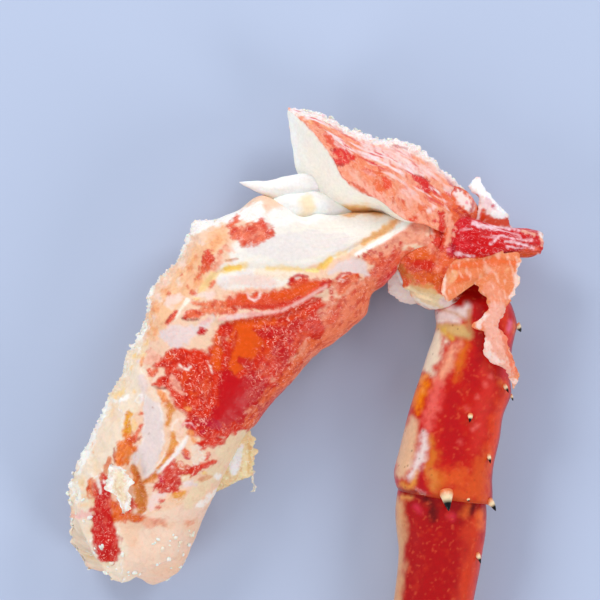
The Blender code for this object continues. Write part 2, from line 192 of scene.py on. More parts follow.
def from_stroke(points, stroke):
    """How far each point lies outside a brush stroke, seen from above. A stroke is dots of x, y and radius,
    joined by straight stretches whose radius changes evenly. Inside it the distance is negative."""
    x, y = points[..., 0], points[..., 1]
    nearest = np.full(x.shape, 1e9)
    dots = stroke if len(stroke) > 1 else stroke * 2
    for (ax, ay, ar), (bx, by, br) in zip(dots, dots[1:]):
        dx, dy = bx - ax, by - ay
        t = np.clip(((x - ax) * dx + (y - ay) * dy) / (dx * dx + dy * dy + 1e-9), 0, 1)
        nearest = np.minimum(nearest, np.hypot(x - ax - t * dx, y - ay - t * dy) - ar - t * (br - ar))
    return nearest


def ragged_gap(points, strokes, ragged, cell, seed):
    """How far each point lies outside the nearest stroke, its edge pushed in and out by layered grain."""
    gap = np.minimum.reduce([from_stroke(points, stroke) for stroke in strokes])
    reach = 2 * ragged + 1
    near = np.abs(gap) < reach
    gap[near] += ragged * layered(points[near], cell, 3, seed) * (1 - (gap[near] / reach) ** 2)
    return gap


def covered(points, stroke, edge=0.8, ragged=0.0, cell=3.0, seed=0):
    """1 inside the stroke, 0 outside, with an edge that wide."""
    t = np.clip(0.5 - ragged_gap(points, (stroke,), ragged, cell, seed) / edge, 0, 1)
    return t * t * (3 - 2 * t)


def bump_along(points, stroke, width):
    """A rounded ridge along a stroke: exp(-(d / width)^2), where d is how far a point lies outside it."""
    return np.exp(-(np.maximum(from_stroke(points, stroke), 0) / width) ** 2)


FILM = 0.018  # the white light that the film of juice sends back everywhere, taken off each colour


def tint(*srgb):
    """Linear colour from one given as screen values from 0 to 255, less what the wet film adds."""
    share = np.array(srgb) / 255
    linear = np.where(share <= 0.04045, share / 12.92, ((share + 0.055) / 1.055) ** 2.4)
    return np.maximum(linear - FILM, 0.002)


def lay_colour(colour, mask, new):
    """The colours with the new one laid over them by the mask."""
    return colour + (new - colour) * mask[..., None]


def rounded_off(values, steps, depths=None):
    """The tube's values with rings added at both ends. Points shrink to the end's middle by the cosine of a
    quarter turn, while they move out by depth times its sine. Other values are repeated."""
    if depths is None:
        return np.concatenate((np.repeat(values[:1], steps, 0), values, np.repeat(values[-1:], steps, 0)))
    quarter = np.arange(1, steps + 1)[:, None, None] / (steps + 0.6) * np.pi / 2
    parts = []
    for ring, inner, depth in ((values[0], values[3], depths[0]), (values[-1], values[-4], depths[1])):
        middle = ring.mean(0)
        out = middle - inner.mean(0)
        out /= np.linalg.norm(out)
        parts.append(middle + (ring - middle) * np.cos(quarter) + out * depth * np.sin(quarter))
    return np.concatenate((parts[0][::-1], values, parts[1]))


def tube_object(name, points, **marks):
    """A closed mesh from rings in millimetres, with a fan over each end of a tube. Points are ring by ring,
    or tube by tube where there are many. Marks are point attributes: a colour has three values for each
    point, and another mark has one, or is a number that holds everywhere."""
    rings, sides = points.shape[-3:-1]
    tubes = points.reshape(-1, rings, sides, 3)
    count = rings * sides + 2
    start = np.arange(len(tubes))[:, None] * count

    def with_poles(values):
        """The values tube by tube, followed by the mean of the first ring and that of the last, for the two
        poles."""
        values = values.reshape(len(tubes), rings, sides, -1)
        listed = values.reshape(len(tubes), rings * sides, -1)
        return np.concatenate((listed, values[:, :1].mean(2), values[:, -1:].mean(2)), 1)

    ring, side = np.meshgrid(np.arange(rings - 1), np.arange(sides), indexing="ij")
    after = (side + 1) % sides
    here, beyond = ring * sides, (ring + 1) * sides
    quads = np.stack((here + side, here + after, beyond + after, beyond + side), -1)
    near = np.arange(sides)
    far = near + (rings - 1) * sides
    fans = np.concatenate((
        np.stack((np.roll(near, -1), near, np.full(sides, count - 2)), -1),
        np.stack((far, np.roll(far, -1), np.full(sides, count - 1)), -1),
    ))
    places = np.clip(with_poles(points).reshape(-1, 3) * MM, cad_low, cad_high)
    quads = (quads.reshape(1, -1, 4) + start[..., None]).reshape(-1, 4)
    fans = (fans[None] + start[..., None]).reshape(-1, 3)
    mesh = mesh_from(name, places, [quads, fans])
    for mark, values in marks.items():
        values = with_poles(np.broadcast_to(values, points.shape[:-1]) if np.isscalar(values) else values)
        add_mark(mesh, mark, values.reshape(-1, values.shape[-1]))
    obj = bpy.data.objects.new(name, mesh)
    bpy.context.scene.collection.objects.link(obj)
    return obj


def mesh_from(name, places, face_sets):
    """A smooth mesh from places and arrays of faces, turned over if its volume comes out negative."""
    volume = 0.0
    for faces in face_sets:
        a = places[faces[:, 0]]
        for k in range(1, faces.shape[1] - 1):
            volume += (a * np.cross(places[faces[:, k]], places[faces[:, k + 1]])).sum()
    if volume < 0:
        face_sets = [faces[:, ::-1] for faces in face_sets]
    corners = np.concatenate([faces.ravel() for faces in face_sets])
    sizes = np.concatenate([np.full(len(faces), faces.shape[1]) for faces in face_sets])
    mesh = bpy.data.meshes.new(name)
    mesh.vertices.add(len(places))
    mesh.vertices.foreach_set("co", places.ravel().astype(np.float32))
    mesh.loops.add(len(corners))
    mesh.loops.foreach_set("vertex_index", corners.astype(np.int32))
    mesh.polygons.add(len(sizes))
    mesh.polygons.foreach_set("loop_start", (np.cumsum(sizes) - sizes).astype(np.int32))
    mesh.polygons.foreach_set("use_smooth", np.ones(len(sizes), bool))
    mesh.update(calc_edges=True)
    return mesh


def add_mark(mesh, mark, values):
    """A point attribute: a colour where each point has three values, a number where it has one."""
    if values.shape[1] == 3:
        layer = mesh.attributes.new(mark, "FLOAT_COLOR", "POINT")
        layer.data.foreach_set("color", np.c_[values, np.ones(len(values))].ravel().astype(np.float32))
    else:
        layer = mesh.attributes.new(mark, "FLOAT", "POINT")
        layer.data.foreach_set("value", values.ravel().astype(np.float32))


def fine_flesh_group():
    """Colour and height of cooked flesh finer than the mesh. Two sizes of noise lighten and darken the
    colour. Where the Threads mask is high, pale curled threads lie along the middle value of a third
    noise, broken up by the first one; they are partly the flesh's own pale threads and partly painted wet
    glints. The colour turns redder where the third noise is low. Cells sets the sizes, in noise cells for
    each metre."""
    group = bpy.data.node_groups.new("fine flesh", "ShaderNodeTree")
    for socket, side, kind in (
        ("Colour", "INPUT", "NodeSocketColor"), ("Cells", "INPUT", "NodeSocketFloat"),
        ("Mottle", "INPUT", "NodeSocketFloat"), ("Threads", "INPUT", "NodeSocketFloat"),
        ("Thread colour", "INPUT", "NodeSocketColor"),
        ("Colour", "OUTPUT", "NodeSocketColor"), ("Height", "OUTPUT", "NodeSocketFloat"),
    ):
        group.interface.new_socket(socket, in_out=side, socket_type=kind)
    join = group.links.new
    inlet, outlet = group.nodes.new("NodeGroupInput"), group.nodes.new("NodeGroupOutput")
    place = group.nodes.new("ShaderNodeTexCoord")

    def sum_of(kind, *values):
        """A Math node of that kind, with each input joined to an output or set to a number."""
        node = group.nodes.new("ShaderNodeMath")
        node.operation = kind
        for socket, value in zip(node.inputs, values):
            if isinstance(value, (int, float)):
                socket.default_value = value
            else:
                join(value, socket)
        return node.outputs[0]

    def between(value, low, high, first=0.0, last=1.0, clamp=True):
        """The value carried from the range low..high onto first..last."""
        node = group.nodes.new("ShaderNodeMapRange")
        node.clamp = clamp
        for socket, number in zip(("From Min", "From Max", "To Min", "To Max"), (low, high, first, last)):
            node.inputs[socket].default_value = number
        join(value, node.inputs["Value"])
        return node.outputs[0]

    def noise(scale, detail, twist=0.0):
        """A noise texture with that many times Cells for its scale."""
        node = group.nodes.new("ShaderNodeTexNoise")
        node.inputs["Detail"].default_value = detail
        node.inputs["Distortion"].default_value = twist
        join(sum_of("MULTIPLY", inlet.outputs["Cells"], scale), node.inputs["Scale"])
        join(place.outputs["Object"], node.inputs["Vector"])
        return node.outputs["Fac"]

    coarse, fine, knit = noise(1.0, 4.0), noise(3.7, 3.0), noise(0.62, 1.5, 0.7)
    threads = inlet.outputs["Threads"]
    height = sum_of("MULTIPLY_ADD", fine, 0.45, coarse)
    lighter = between(height, 0.5, 0.95, -1.0, 1.0, clamp=False)
    change = sum_of("MULTIPLY_ADD", lighter, inlet.outputs["Mottle"], 1.0)
    deep = sum_of("MULTIPLY", between(knit, 0.45, 0.36, 0.0, 0.6), threads)

    def laid_over(mask, under, over):
        """The colour over laid on the colour under by the mask."""
        node = group.nodes.new("ShaderNodeMix")
        node.data_type = "RGBA"
        for number, value in ((0, mask), (6, under), (7, over)):
            join(value, node.inputs[number])
        return node.outputs[2]

    scaled, steeped = group.nodes.new("ShaderNodeVectorMath"), group.nodes.new("ShaderNodeVectorMath")
    scaled.operation, steeped.operation = "SCALE", "MULTIPLY"
    join(inlet.outputs["Colour"], scaled.inputs[0])
    join(change, scaled.inputs["Scale"])
    join(scaled.outputs[0], steeped.inputs[0])
    steeped.inputs[1].default_value = (0.86, 0.5, 0.38)
    line = between(sum_of("ABSOLUTE", sum_of("SUBTRACT", knit, 0.52)), 0.008, 0.035, 1.0, 0.0)
    broken = between(coarse, 0.46, 0.56)
    curl = sum_of("MULTIPLY", sum_of("MULTIPLY", line, broken), threads)
    pitted = laid_over(deep, scaled.outputs[0], steeped.outputs[0])
    join(laid_over(curl, pitted, inlet.outputs["Thread colour"]), outlet.inputs["Colour"])
    join(sum_of("MULTIPLY_ADD", curl, 0.5, height), outlet.inputs["Height"])
    return group


FINE_FLESH = fine_flesh_group()


def wet_flesh(name, cells, mottle, bump, rough, coat, scatter, thread=(252, 188, 172)):
    """Cooked flesh: the painted tint with fine mottle, pale threads, partly painted glints, where the threads
    mark is high, light scattered a millimetre or two inside, and a thin film of juice, thicker where the wet
    mark is high. The roughness runs from the first of rough, where it is dry, to the second, where it is wet."""
    material = bpy.data.materials.new(name)
    material.use_nodes = True
    tree = material.node_tree
    shader = tree.nodes["Principled BSDF"]
    add, join = tree.nodes.new, tree.links.new
    painted, wet, threads = (add("ShaderNodeAttribute") for _ in range(3))
    painted.attribute_name, wet.attribute_name, threads.attribute_name = "tint", "wet", "threads"
    fine = add("ShaderNodeGroup")
    fine.node_tree = FINE_FLESH
    fine.inputs["Cells"].default_value = cells
    fine.inputs["Mottle"].default_value = mottle
    fine.inputs["Thread colour"].default_value = (*tint(*thread), 1)
    join(threads.outputs["Fac"], fine.inputs["Threads"])
    join(painted.outputs["Color"], fine.inputs["Colour"])
    join(fine.outputs["Colour"], shader.inputs["Base Color"])
    dullness = add("ShaderNodeMapRange")
    dullness.inputs["To Min"].default_value, dullness.inputs["To Max"].default_value = rough
    join(wet.outputs["Fac"], dullness.inputs["Value"])
    join(dullness.outputs[0], shader.inputs["Roughness"])
    film = add("ShaderNodeMath")
    film.operation = "MULTIPLY"
    film.inputs[1].default_value = coat
    join(wet.outputs["Fac"], film.inputs[0])
    join(film.outputs[0], shader.inputs["Coat Weight"])
    shader.inputs["Coat Roughness"].default_value = 0.08
    shader.inputs["Specular IOR Level"].default_value = 0.15
    shader.inputs["Subsurface Weight"].default_value = scatter
    shader.inputs["Subsurface Radius"].default_value = (1.0, 0.32, 0.18)
    shader.inputs["Subsurface Scale"].default_value = 0.0014
    relief = add("ShaderNodeBump")
    relief.inputs["Strength"].default_value = bump
    relief.inputs["Distance"].default_value = 0.0004
    join(fine.outputs["Height"], relief.inputs["Height"])
    join(relief.outputs[0], shader.inputs["Normal"])
    join(relief.outputs[0], shader.inputs["Coat Normal"])
    return material


def fit(obj, material, node):
    """Gives the piece its finish, and has it ride with the leg in place of that solid."""
    obj.data.materials.append(material)
    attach(obj, "root")
    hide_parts(node)
    return obj


# Colours of the cooked flesh and skin.
NEAR_WHITE, CREAM, PEACH = tint(254, 250, 242), tint(245, 225, 201), tint(246, 208, 178)
LILAC, SALMON, PINK = tint(236, 215, 211), tint(245, 168, 138), tint(249, 194, 184)
AMBER, GOLD, OCHRE = tint(246, 158, 92), tint(236, 166, 72), tint(224, 138, 58)
ORANGE, CORAL, SCARLET = tint(234, 94, 36), tint(236, 104, 66), tint(226, 62, 40)
CRIMSON, ROSE, WINE = tint(202, 32, 44), tint(208, 40, 80), tint(150, 22, 32)
# A pale lip painted round raised and sunken stains, as a highlight on their rims.
LIP_HIGHLIGHT = tint(254, 240, 230)
# Patches and lines that stains, relief and finish share: the belly muscle, the curds, the pale slab, the
# smooth red muscle, the crevice across the belly, the fold's ridge with a groove below it, and the lip.
BELLY = ((-18, 101, 5), (-10, 104, 8), (-2, 106, 9), (8, 107.5, 7), (18, 108.5, 4), (28, 110.5, 1.5))
CURD = (
    (-52, 72, 2.5), (-54, 66, 4.5), (-55, 59, 6), (-59, 52, 6.5), (-62, 45, 7), (-65, 38, 6.5), (-68, 30, 6),
    (-69, 22, 6), (-66, 12, 9), (-60, 2, 8),
)
SLAB = (
    (-47.3, 57, 2), (-47, 53, 3), (-47, 47, 3.4), (-47.3, 42, 3.6), (-48.3, 38, 3.3), (-48.8, 34.5, 2.2),
    (-49.5, 31.5, 0.8),
)
ORANGE_CORE = ((-19, 78.3, 3.2), (-17.5, 74, 4.3), (-19.5, 69, 3.4), (-21.5, 65.5, 1.4))
CRIMSON_CORE = ((-24, 62.5, 2.6), (-21.5, 58, 5), (-22, 53, 4.5), (-25.5, 51, 3))
BAND = (
    (-23, 86.3, 1.4), (-19, 87.2, 2), (-14, 87, 2.4), (-9, 87.3, 2.6), (-4, 88.3, 2.6), (1, 90.3, 2.8),
    (5, 91.8, 1.8), (9.5, 93.2, 0.7),
)
CREVICE = (
    (-30, 92, 0), (-27, 96, 0), (-22, 97.7, 0), (-10, 97.5, 0), (0, 97, 0), (5, 96.8, 0), (9, 100.5, 0),
    (16, 103.5, 0), (23, 107, 0), (31, 110, 0),
)
RIDGE = (
    (-26, 81.2, 0.4), (-22, 82, 0.9), (-17, 82.8, 0.9), (-12, 83.3, 0.6), (-7, 84, 0.5), (-3.5, 85.6, 0.5),
    (0, 87.4, 0.6), (3.5, 89.6, 0.6), (7.5, 91.7, 0.5),
)
UNDER_RIDGE = tuple((x + 0.7, y - 2, 0) for x, y, radius in RIDGE)
LIP = (
    (17, 101.7, 0.5), (22, 104.5, 0.8), (27, 107.3, 0.9), (31, 109.6, 0.9), (35, 110.9, 0.9),
    (38.5, 110.4, 0.7), (41.5, 108.8, 0.4),
)
SHOULDER = ((5, 114.5, 0), (24, 113.5, 0), (38, 111, 0))
# Stains of the thigh, with painted shade and painted highlights among them, in the order in which they lie
# over each other: colour, strength, raggedness, size of the rags, height, and the strokes that share them. A
# stroke is a row of points, each with its place and its half width.
THIGH_STAINS_AND_PAINTED_LIGHT = (
    # skin of the back, with a pale rim that is painted near white as a highlight
    (tint(250, 198, 152), 0.9, 1.6, 5, 0,
     ((-25, 109, 2.5), (-29, 104, 3.5), (-34, 98, 4.5), (-39, 92, 4.5), (-44, 84, 4), (-46, 78, 3))),
    (AMBER, 0.55, 1.2, 2.5, 0, ((-26, 107, 1.2), (-28.5, 104, 1.2)), ((-34, 101, 0.8), (-36, 97, 1.2)),
     ((-33, 94, 1.2), (-32.5, 91, 1)), ((-43.5, 90.5, 1), (-42, 88.5, 0.7)),
     ((-47.5, 86, 1), (-46.5, 84, 0.6)), ((-48, 79, 0.8), (-46, 77.5, 0.7)), ((-50.5, 73, 0.7),)),
    (tint(252, 224, 208), 0.7, 1.2, 2, 0, ((-38.5, 99, 1.2),), ((-43.5, 94.5, 1.2),), ((-39.5, 93.5, 1),),
     ((-46.5, 89, 1), (-44.5, 87.5, 0.6)), ((-41, 84.5, 0.8),), ((-49, 81, 0.7), (-47, 82, 0.5)),
     ((-31.5, 106, 0.9),)),
    # rim of the back: pale skin, painted near white as a highlight where it catches the light
    (NEAR_WHITE, 0.95, 1, 2.5, 0,
     ((-35, 110.5, 2.3), (-31, 112, 2), (-26, 113, 1.6), (-20, 114, 1.8), (-14, 115.5, 3)),
     ((-37, 107, 1.3), (-40, 102.5, 1.1), (-44, 97.5, 1.2), (-47.5, 94, 1.3), (-50, 89, 1.1), (-50, 84, 1)),
     ((-50, 79, 1.1), (-54, 73.5, 1.3), (-56.5, 67, 1.5), (-59.5, 60.5, 1.5))),
    # curd-covered outer side, down to the torn end
    (CREAM, 1, 1.6, 6, 0, CURD),
    # white rims along the outer lobe, painted as highlights, and thin white cords
    (NEAR_WHITE, 0.95, 0.8, 2.5, 0, ((-62.5, 55, 1.2), (-66, 48, 1.3), (-69, 40, 1.2), (-71, 33, 1.2)),
     ((-75, 29, 0.8), (-72.5, 28, 1.6), (-72, 25, 1.6)),
     ((-61, 55.5, 0.5), (-58, 55.5, 0.4), (-55.5, 56.5, 0.4))),
    # tan painted shade in the outer lobe's hollow
    (tint(242, 220, 196), 0.7, 1.2, 4, 0, ((-63, 44, 2.5), (-64, 38, 3), (-63, 33.5, 2))),
    (tint(252, 214, 150), 0.8, 0.8, 1.5, 0, ((-53.5, 70, 0.8),), ((-50.3, 70.5, 0.8),), ((-54.5, 66, 0.6),),
     ((-53, 58.3, 0.5),), ((-49.5, 74, 0.7),), ((-59.3, 57.2, 1), (-57.5, 58.5, 1.1))),
    (AMBER, 0.8, 0.4, 1, 0, ((-50.7, 69, 0.7), (-51, 67, 0.5)), ((-67, 42, 0.4),), ((-66.7, 39, 0.3),),
     ((-66, 46, 0.3),)),
    (LILAC, 0.8, 0.8, 1.5, 0, ((-52.3, 68.3, 0.8),), ((-50.5, 63, 1), (-49.5, 59.5, 1.6), (-50.5, 56, 1)),
     ((-60, 50, 1),)),
    (tint(248, 204, 156), 0.8, 0.6, 1.5, 0, ((-69.5, 25, 0.9),), ((-70.3, 22, 0.6), (-68.5, 22.5, 0.5))),
    (PINK, 0.8, 0.8, 1.5, 0, ((-73.5, 18.5, 1.2), (-70, 19, 1.3), (-67.5, 19, 1.2)), ((-66.8, 21.5, 0.6),)),
    # white belly muscle with grey-pink painted shade, and the gold juice in the crevice across it
    (tint(245, 237, 226), 1, 1.2, 6, 0, BELLY, ((-23, 95.5, 4.5), (-12, 95.5, 5), (-4, 96.5, 4)),
     ((-8, 113, 4), (0, 111.5, 4))),
    # grey-pink painted shade on the belly
    (tint(237, 227, 222), 0.8, 1, 6, 0, ((-16, 104, 2), (-8, 104, 4), (2, 105, 4.5), (12, 106, 3)),
     ((-18, 94.5, 2.5), (-10, 93, 2)), ((-24.5, 93, 2),)),
    (tint(251, 248, 242), 0.8, 1, 5, 0, ((-8, 114, 2.5), (2, 113, 1.3), (14, 113, 1))),
    (tint(249, 226, 198), 0.7, 1, 4, 0, ((-14, 96, 1.4), (-7, 95.3, 1.8), (-2, 96.2, 1)),
     ((18, 104.5, 1), (23, 107, 1.4), (28, 109.7, 0.9))),
    (tint(251, 216, 148), 0.8, 0.8, 2.5, 0,
     ((-33, 88.5, 1), (-31, 92, 1.3), (-29, 95, 1.1), (-25, 97, 1.1), (-18, 98, 0.8)),
     ((-11, 97.5, 0.6), (-5, 97.5, 0.8), (0, 97, 0.5)), ((9, 101, 0.8), (14, 103, 0.6))),
    (tint(252, 206, 92), 0.85, 0.5, 2, 0, ((-24, 97.3, 0.7), (-20, 97.7, 0.9)),
     ((5, 97, 0.6), (7.3, 98.6, 1.1), (9.3, 100.6, 0.7))),
    (tint(252, 240, 160), 0.9, 0.3, 2, 0, ((1.5, 96.8, 0.5), (5, 96.7, 0.6))),
    (tint(206, 120, 72), 0.8, 0.2, 1, 0, ((-24, 99.8, 0.15), (-20.3, 100.6, 0.15))),
    # red scabs on the back
    (CORAL, 0.95, 1.2, 1.5, 0,
     ((-20.5, 108.5, 2.2), (-16.5, 108, 2.6), (-13.5, 110, 2.4), (-11.5, 109, 1.8), (-9.3, 108.5, 0.6)),
     ((-19, 106, 1.2), (-15, 106.3, 1.2), (-12.6, 107.4, 1.1)), ((-22.3, 110.5, 1), (-20.8, 112.8, 0.9)),
     ((-29.7, 102, 1), (-29.5, 99.5, 1.8), (-31.5, 97, 1.2), (-32.7, 95, 0.7))),
    (SALMON, 0.8, 1.2, 2, 0, ((-26.3, 101.5, 1), (-26, 99.3, 0.9), (-27.5, 97.3, 0.7)),
     ((-24, 104, 0.8), (-22.7, 102.8, 0.8)), ((-18.5, 109.5, 0.7),), ((-15.2, 107.2, 0.7),),
     ((-13, 108.8, 0.5),)),
    (SCARLET, 0.85, 0.7, 1, 0, ((-12.8, 112, 0.9), (-11.5, 110, 0.7)),
     ((-10.5, 109, 0.9), (-9.3, 108.5, 0.4)), ((-18, 105.4, 0.5),), ((-14.5, 105.4, 0.4),),
     ((-21.6, 109.5, 0.6),), ((-16.3, 109.7, 0.5),), ((-29.8, 102.2, 0.8), (-29.2, 100, 1.4))),
    (CORAL, 0.85, 0.5, 1, 0, ((-28, 93, 0.6), (-29, 91.7, 0.5)), ((-42.3, 89.5, 0.6),),
     ((-35, 90, 0.7), (-33.5, 89.3, 0.4)), ((-38.5, 95.5, 0.4),), ((-36.2, 91.8, 0.4),),
     ((-25.7, 102.7, 0.7),)),
    # red band between the belly and the fold
    (SALMON, 0.6, 1, 2, 0, ((-24, 88.5, 0.8), (-18, 90.2, 0.7), (-12, 90.3, 0.8), (-7, 90.8, 0.7))),
    (tint(229, 76, 40), 0.95, 1, 1.8, 0, BAND, ((-2, 92.5, 2), (0.5, 93.2, 1.5))),
    (tint(240, 124, 80), 0.9, 0.8, 1.5, 0, ((-34.5, 86.5, 0.5), (-30, 86, 0.9), (-25, 86, 1.3)),
     ((-31, 84.2, 1), (-27, 84, 1.1), (-21, 84.2, 1))),
    (ORANGE, 0.8, 1, 2, 0, ((-18, 88.3, 1),), ((-9, 88.5, 1), (-3, 89.8, 1.2), (3, 92, 1))),
    (tint(210, 50, 34), 0.8, 0.4, 2, 0,
     ((-22, 84.9, 0.4), (-16, 85.3, 0.5), (-10, 85.2, 0.6), (-5, 86.3, 0.5), (-1, 88.2, 0.4))),
    (CRIMSON, 0.9, 0.3, 1, 0, ((-4.2, 92.3, 0.3), (-2.5, 94.6, 0.4), (-1, 95.3, 0.4), (1.5, 95, 0.3)),
     ((6, 92.5, 0.3), (9.5, 93.4, 0.35))),
    (PINK, 0.85, 0.2, 1, 0.2,
     ((-17.2, 89.6, 0.3), (-16.6, 88, 0.35), (-15, 87.2, 0.4), (-13.5, 88.2, 0.35), (-13, 89.8, 0.3))),
    # skin below the belly, towards the knee: salmon, with a white lip
    (SALMON, 0.95, 1.2, 3, 0,
     ((24, 101.5, 2.2), (28, 104.5, 2.5), (32, 107, 2.5), (36, 108, 2.5), (40, 106, 2))),
    (tint(240, 122, 84), 0.95, 1.6, 3, 0,
     ((21.5, 94.5, 2.4), (20, 90, 3), (16, 87.5, 3.5), (12.5, 83.5, 4), (8, 79.5, 4), (4, 75, 3.5)),
     ((13, 91, 2.5), (16.5, 94, 1.5)), ((21, 101, 1.2), (25, 99, 2.4), (29, 101, 1.9), (33, 102.8, 1.3))),
    (tint(232, 88, 56), 0.85, 1.2, 2, 0, ((24, 95.5, 2.2), (27, 98, 2.2), (30.5, 100.8, 1.2)),
     ((34, 102.3, 1),), ((12.5, 84.5, 1.5), (9, 80.5, 1.5))),
    (LILAC, 0.95, 0.6, 3, 0,
     ((9, 96, 1), (12, 98, 1.3), (15.5, 98.5, 2.2), (18.5, 98, 2.3), (20, 96, 1.1), (21.3, 95.3, 0.5))),
    (tint(238, 178, 108), 0.9, 0.6, 2, 0, ((19, 105.3, 0.6), (25, 108.8, 1.1), (29.5, 110.8, 0.7))),
    (NEAR_WHITE, 1, 0.3, 3, 0, LIP),
    (SALMON, 0.8, 0.9, 1.3, 0, ((10.5, 91.5, 0.9), (9.2, 88.5, 0.7), (9, 86, 0.6)),
     ((16.5, 91, 1.1), (14.5, 89, 0.9)), ((7, 85, 1.1), (6, 82, 0.9)), ((19, 92.5, 0.9),), ((22.5, 99, 0.6),),
     ((27.5, 100.5, 0.5),)),
    (tint(220, 58, 48), 0.8, 0.7, 1, 0, ((9.3, 90.5, 0.35), (9.6, 88, 0.4)), ((5, 87.3, 0.8), (3, 87.8, 0.6)),
     ((12, 85.5, 0.5),), ((10.5, 83.3, 0.5),), ((6, 78, 0.6),), ((4, 80.5, 0.7), (2, 79, 0.7)),
     ((13.5, 88.3, 0.35),), ((16.5, 89.6, 0.35),), ((19.5, 88.2, 0.4),), ((17.7, 101.2, 0.35),),
     ((19.7, 101.6, 0.35),), ((21, 103, 0.25), (23, 102.7, 0.3)), ((25, 102.3, 0.3), (26, 100, 0.3)),
     ((24, 98.5, 0.4),), ((22.5, 97.3, 0.4),), ((29.5, 104, 0.25), (28.7, 101.8, 0.3)), ((31.3, 105.3, 0.3),),
     ((26.7, 104.3, 0.25),)),
    (tint(222, 50, 62), 0.9, 0.6, 2, 0,
     ((29.3, 97, 0.9), (27.5, 94.5, 1.2), (25, 92.8, 1.1), (23, 91.5, 0.8))),
    (ORANGE, 0.95, 0.6, 1.2, 0.2, ((11.8, 93.6, 0.8), (13.2, 94.6, 1.2), (15, 95, 0.8)), ((17.3, 95.1, 0.3),),
     ((18.6, 94.6, 0.25),)),
    (CRIMSON, 0.85, 0.3, 1, 0, ((11, 94.2, 0.2), (12.6, 95.7, 0.3), (15.3, 95.9, 0.25))),
    # lower right side under the bare muscle, and the end inside the knee
    (tint(241, 132, 94), 0.95, 2, 4, 0, ((22, 90, 4), (15, 80, 5), (6, 71, 5), (-3, 60, 5), (-12, 50, 5))),
    (tint(222, 52, 40), 0.95, 0.6, 2, 0, ((43.8, 108.5, 1), (43.6, 105.5, 2.2), (42.8, 102, 1.6))),
    # bare red muscle
    (tint(224, 60, 40), 1, 1.4, 3.5, 0,
     ((-24, 77.5, 2.6), (-18, 78.5, 3.4), (-10, 79.5, 3.6), (-3, 82, 4), (3, 85, 2.6), (7.5, 86, 1)),
     ((-25, 70, 4.5), (-15, 71, 6.5), (-6, 74, 6), (2, 78, 4.5)),
     ((-45, 67, 1.5), (-40, 69, 2.4), (-34, 69, 3.3), (-28, 66, 4)),
     ((-44, 61.5, 1.3), (-36, 62, 4.5), (-26, 60, 7), (-15, 61, 6.5), (-8, 66, 4.5)),
     ((-42, 66, 1.5), (-40, 60, 2), (-38, 55, 2.5), (-33, 54, 4), (-25, 52, 6), (-18, 53, 4.5)),
     ((-34.5, 48.5, 1.8), (-31, 46.5, 3), (-25, 46.5, 3.5), (-19, 48, 2.5)),
     ((-32, 41.5, 1), (-27.5, 43.3, 1.8), (-24, 43.3, 1))),
    (tint(232, 86, 48), 0.75, 1.2, 2.5, 0, ((-41, 69.7, 1.1),), ((-36, 64, 1.5), (-38, 61, 1)),
     ((-34, 58, 1.3),), ((-30, 62, 1.2), (-31, 57, 1)), ((-36, 54, 1.2),), ((-6, 80.5, 1.4), (0, 83.5, 1.4)),
     ((-13, 72.5, 1.8), (-10, 69.5, 1.3)), ((-12, 65.5, 1.3),), ((-2, 74, 1.2), (1, 77, 1))),
    (ORANGE, 0.95, 1, 3, 0, ORANGE_CORE, ((-17, 79.3, 1.8), (-13, 80.3, 1.5), (-9.5, 81, 0.9)),
     ((-27, 76.5, 0.9), (-26.8, 72, 1.6), (-27.2, 67, 1.4)), ((-22.7, 74.5, 1),)),
    (tint(212, 50, 32), 0.8, 0.5, 2, 0,
     ((-24.5, 77, 0.4), (-24.3, 73, 0.7), (-23, 70.3, 0.8), (-24, 67, 0.6)),
     ((-20.6, 77.5, 0.25), (-21, 74, 0.3), (-22, 71.5, 0.35)), ((-24, 79, 0.8), (-22.5, 77.9, 0.8))),
    (tint(206, 34, 44), 0.85, 1.2, 2.5, 0,
     ((-13, 76.6, 0.9), (-10.3, 77, 1.5), (-7, 77.6, 1), (-3, 78.6, 1.2)), ((-19, 68.3, 1.3), (-17, 66.5, 1)),
     ((-7.5, 72.5, 1.6), (-6, 70, 1.6)), ((-4.5, 75.5, 1.2),), ((-1.5, 80.3, 1.1),), ((-12.5, 61, 1.3),)),
    (CRIMSON, 0.95, 1.4, 3, 0, CRIMSON_CORE, ((-17, 61, 3.6), (-14, 57, 3), (-17.5, 52, 2.6))),
    (tint(198, 30, 62), 0.85, 1, 1.5, 0, ((-33, 49.5, 1), (-29.5, 48.5, 1.4), (-26.5, 47.5, 1)),
     ((-31, 45.5, 0.8),), ((-36.3, 47.4, 0.6), (-34.5, 47.4, 0.5))),
    (tint(238, 112, 66), 0.9, 1.2, 2.5, 0, ((4, 74, 1.8), (0, 72, 1.5)),
     ((-1, 67.5, 1.6), (-4, 65, 1.6), (-6, 61.5, 1.6)), ((-9.5, 58.5, 1.4), (-12.5, 55, 1.2)),
     ((-15, 51.5, 1.7), (-17, 48.5, 1.4))),
    (SALMON, 0.7, 0.8, 1.2, 0, ((1, 73.3, 0.9), (-0.5, 71.2, 0.9)), ((-9, 62, 1),), ((-3.5, 68.7, 0.8),),
     ((-17.5, 52.5, 0.7), (-15, 53, 0.5))),
    (tint(208, 44, 44), 0.7, 0.4, 2, 0,
     ((-3, 61, 0.5), (-7, 57.5, 0.5), (-10.5, 54.5, 0.5), (-13.5, 50.5, 0.5))),
    # scraps and curls at the muscle's left side
    (tint(248, 192, 166), 0.95, 1.2, 2, 0, ((-48.5, 70.5, 1.4), (-46.5, 68.7, 1.9), (-49, 67, 1))),
    (tint(246, 178, 154), 0.95, 0.8, 1.5, 0,
     ((-41, 63.2, 0.9), (-40.3, 61.5, 1.5), (-39, 59.2, 1.4), (-37.8, 58.2, 0.6))),
    (tint(218, 64, 50), 0.8, 0.3, 0.8, 0, ((-38.2, 60.7, 0.2), (-37.5, 59, 0.25)), ((-41.5, 60.3, 0.2),)),
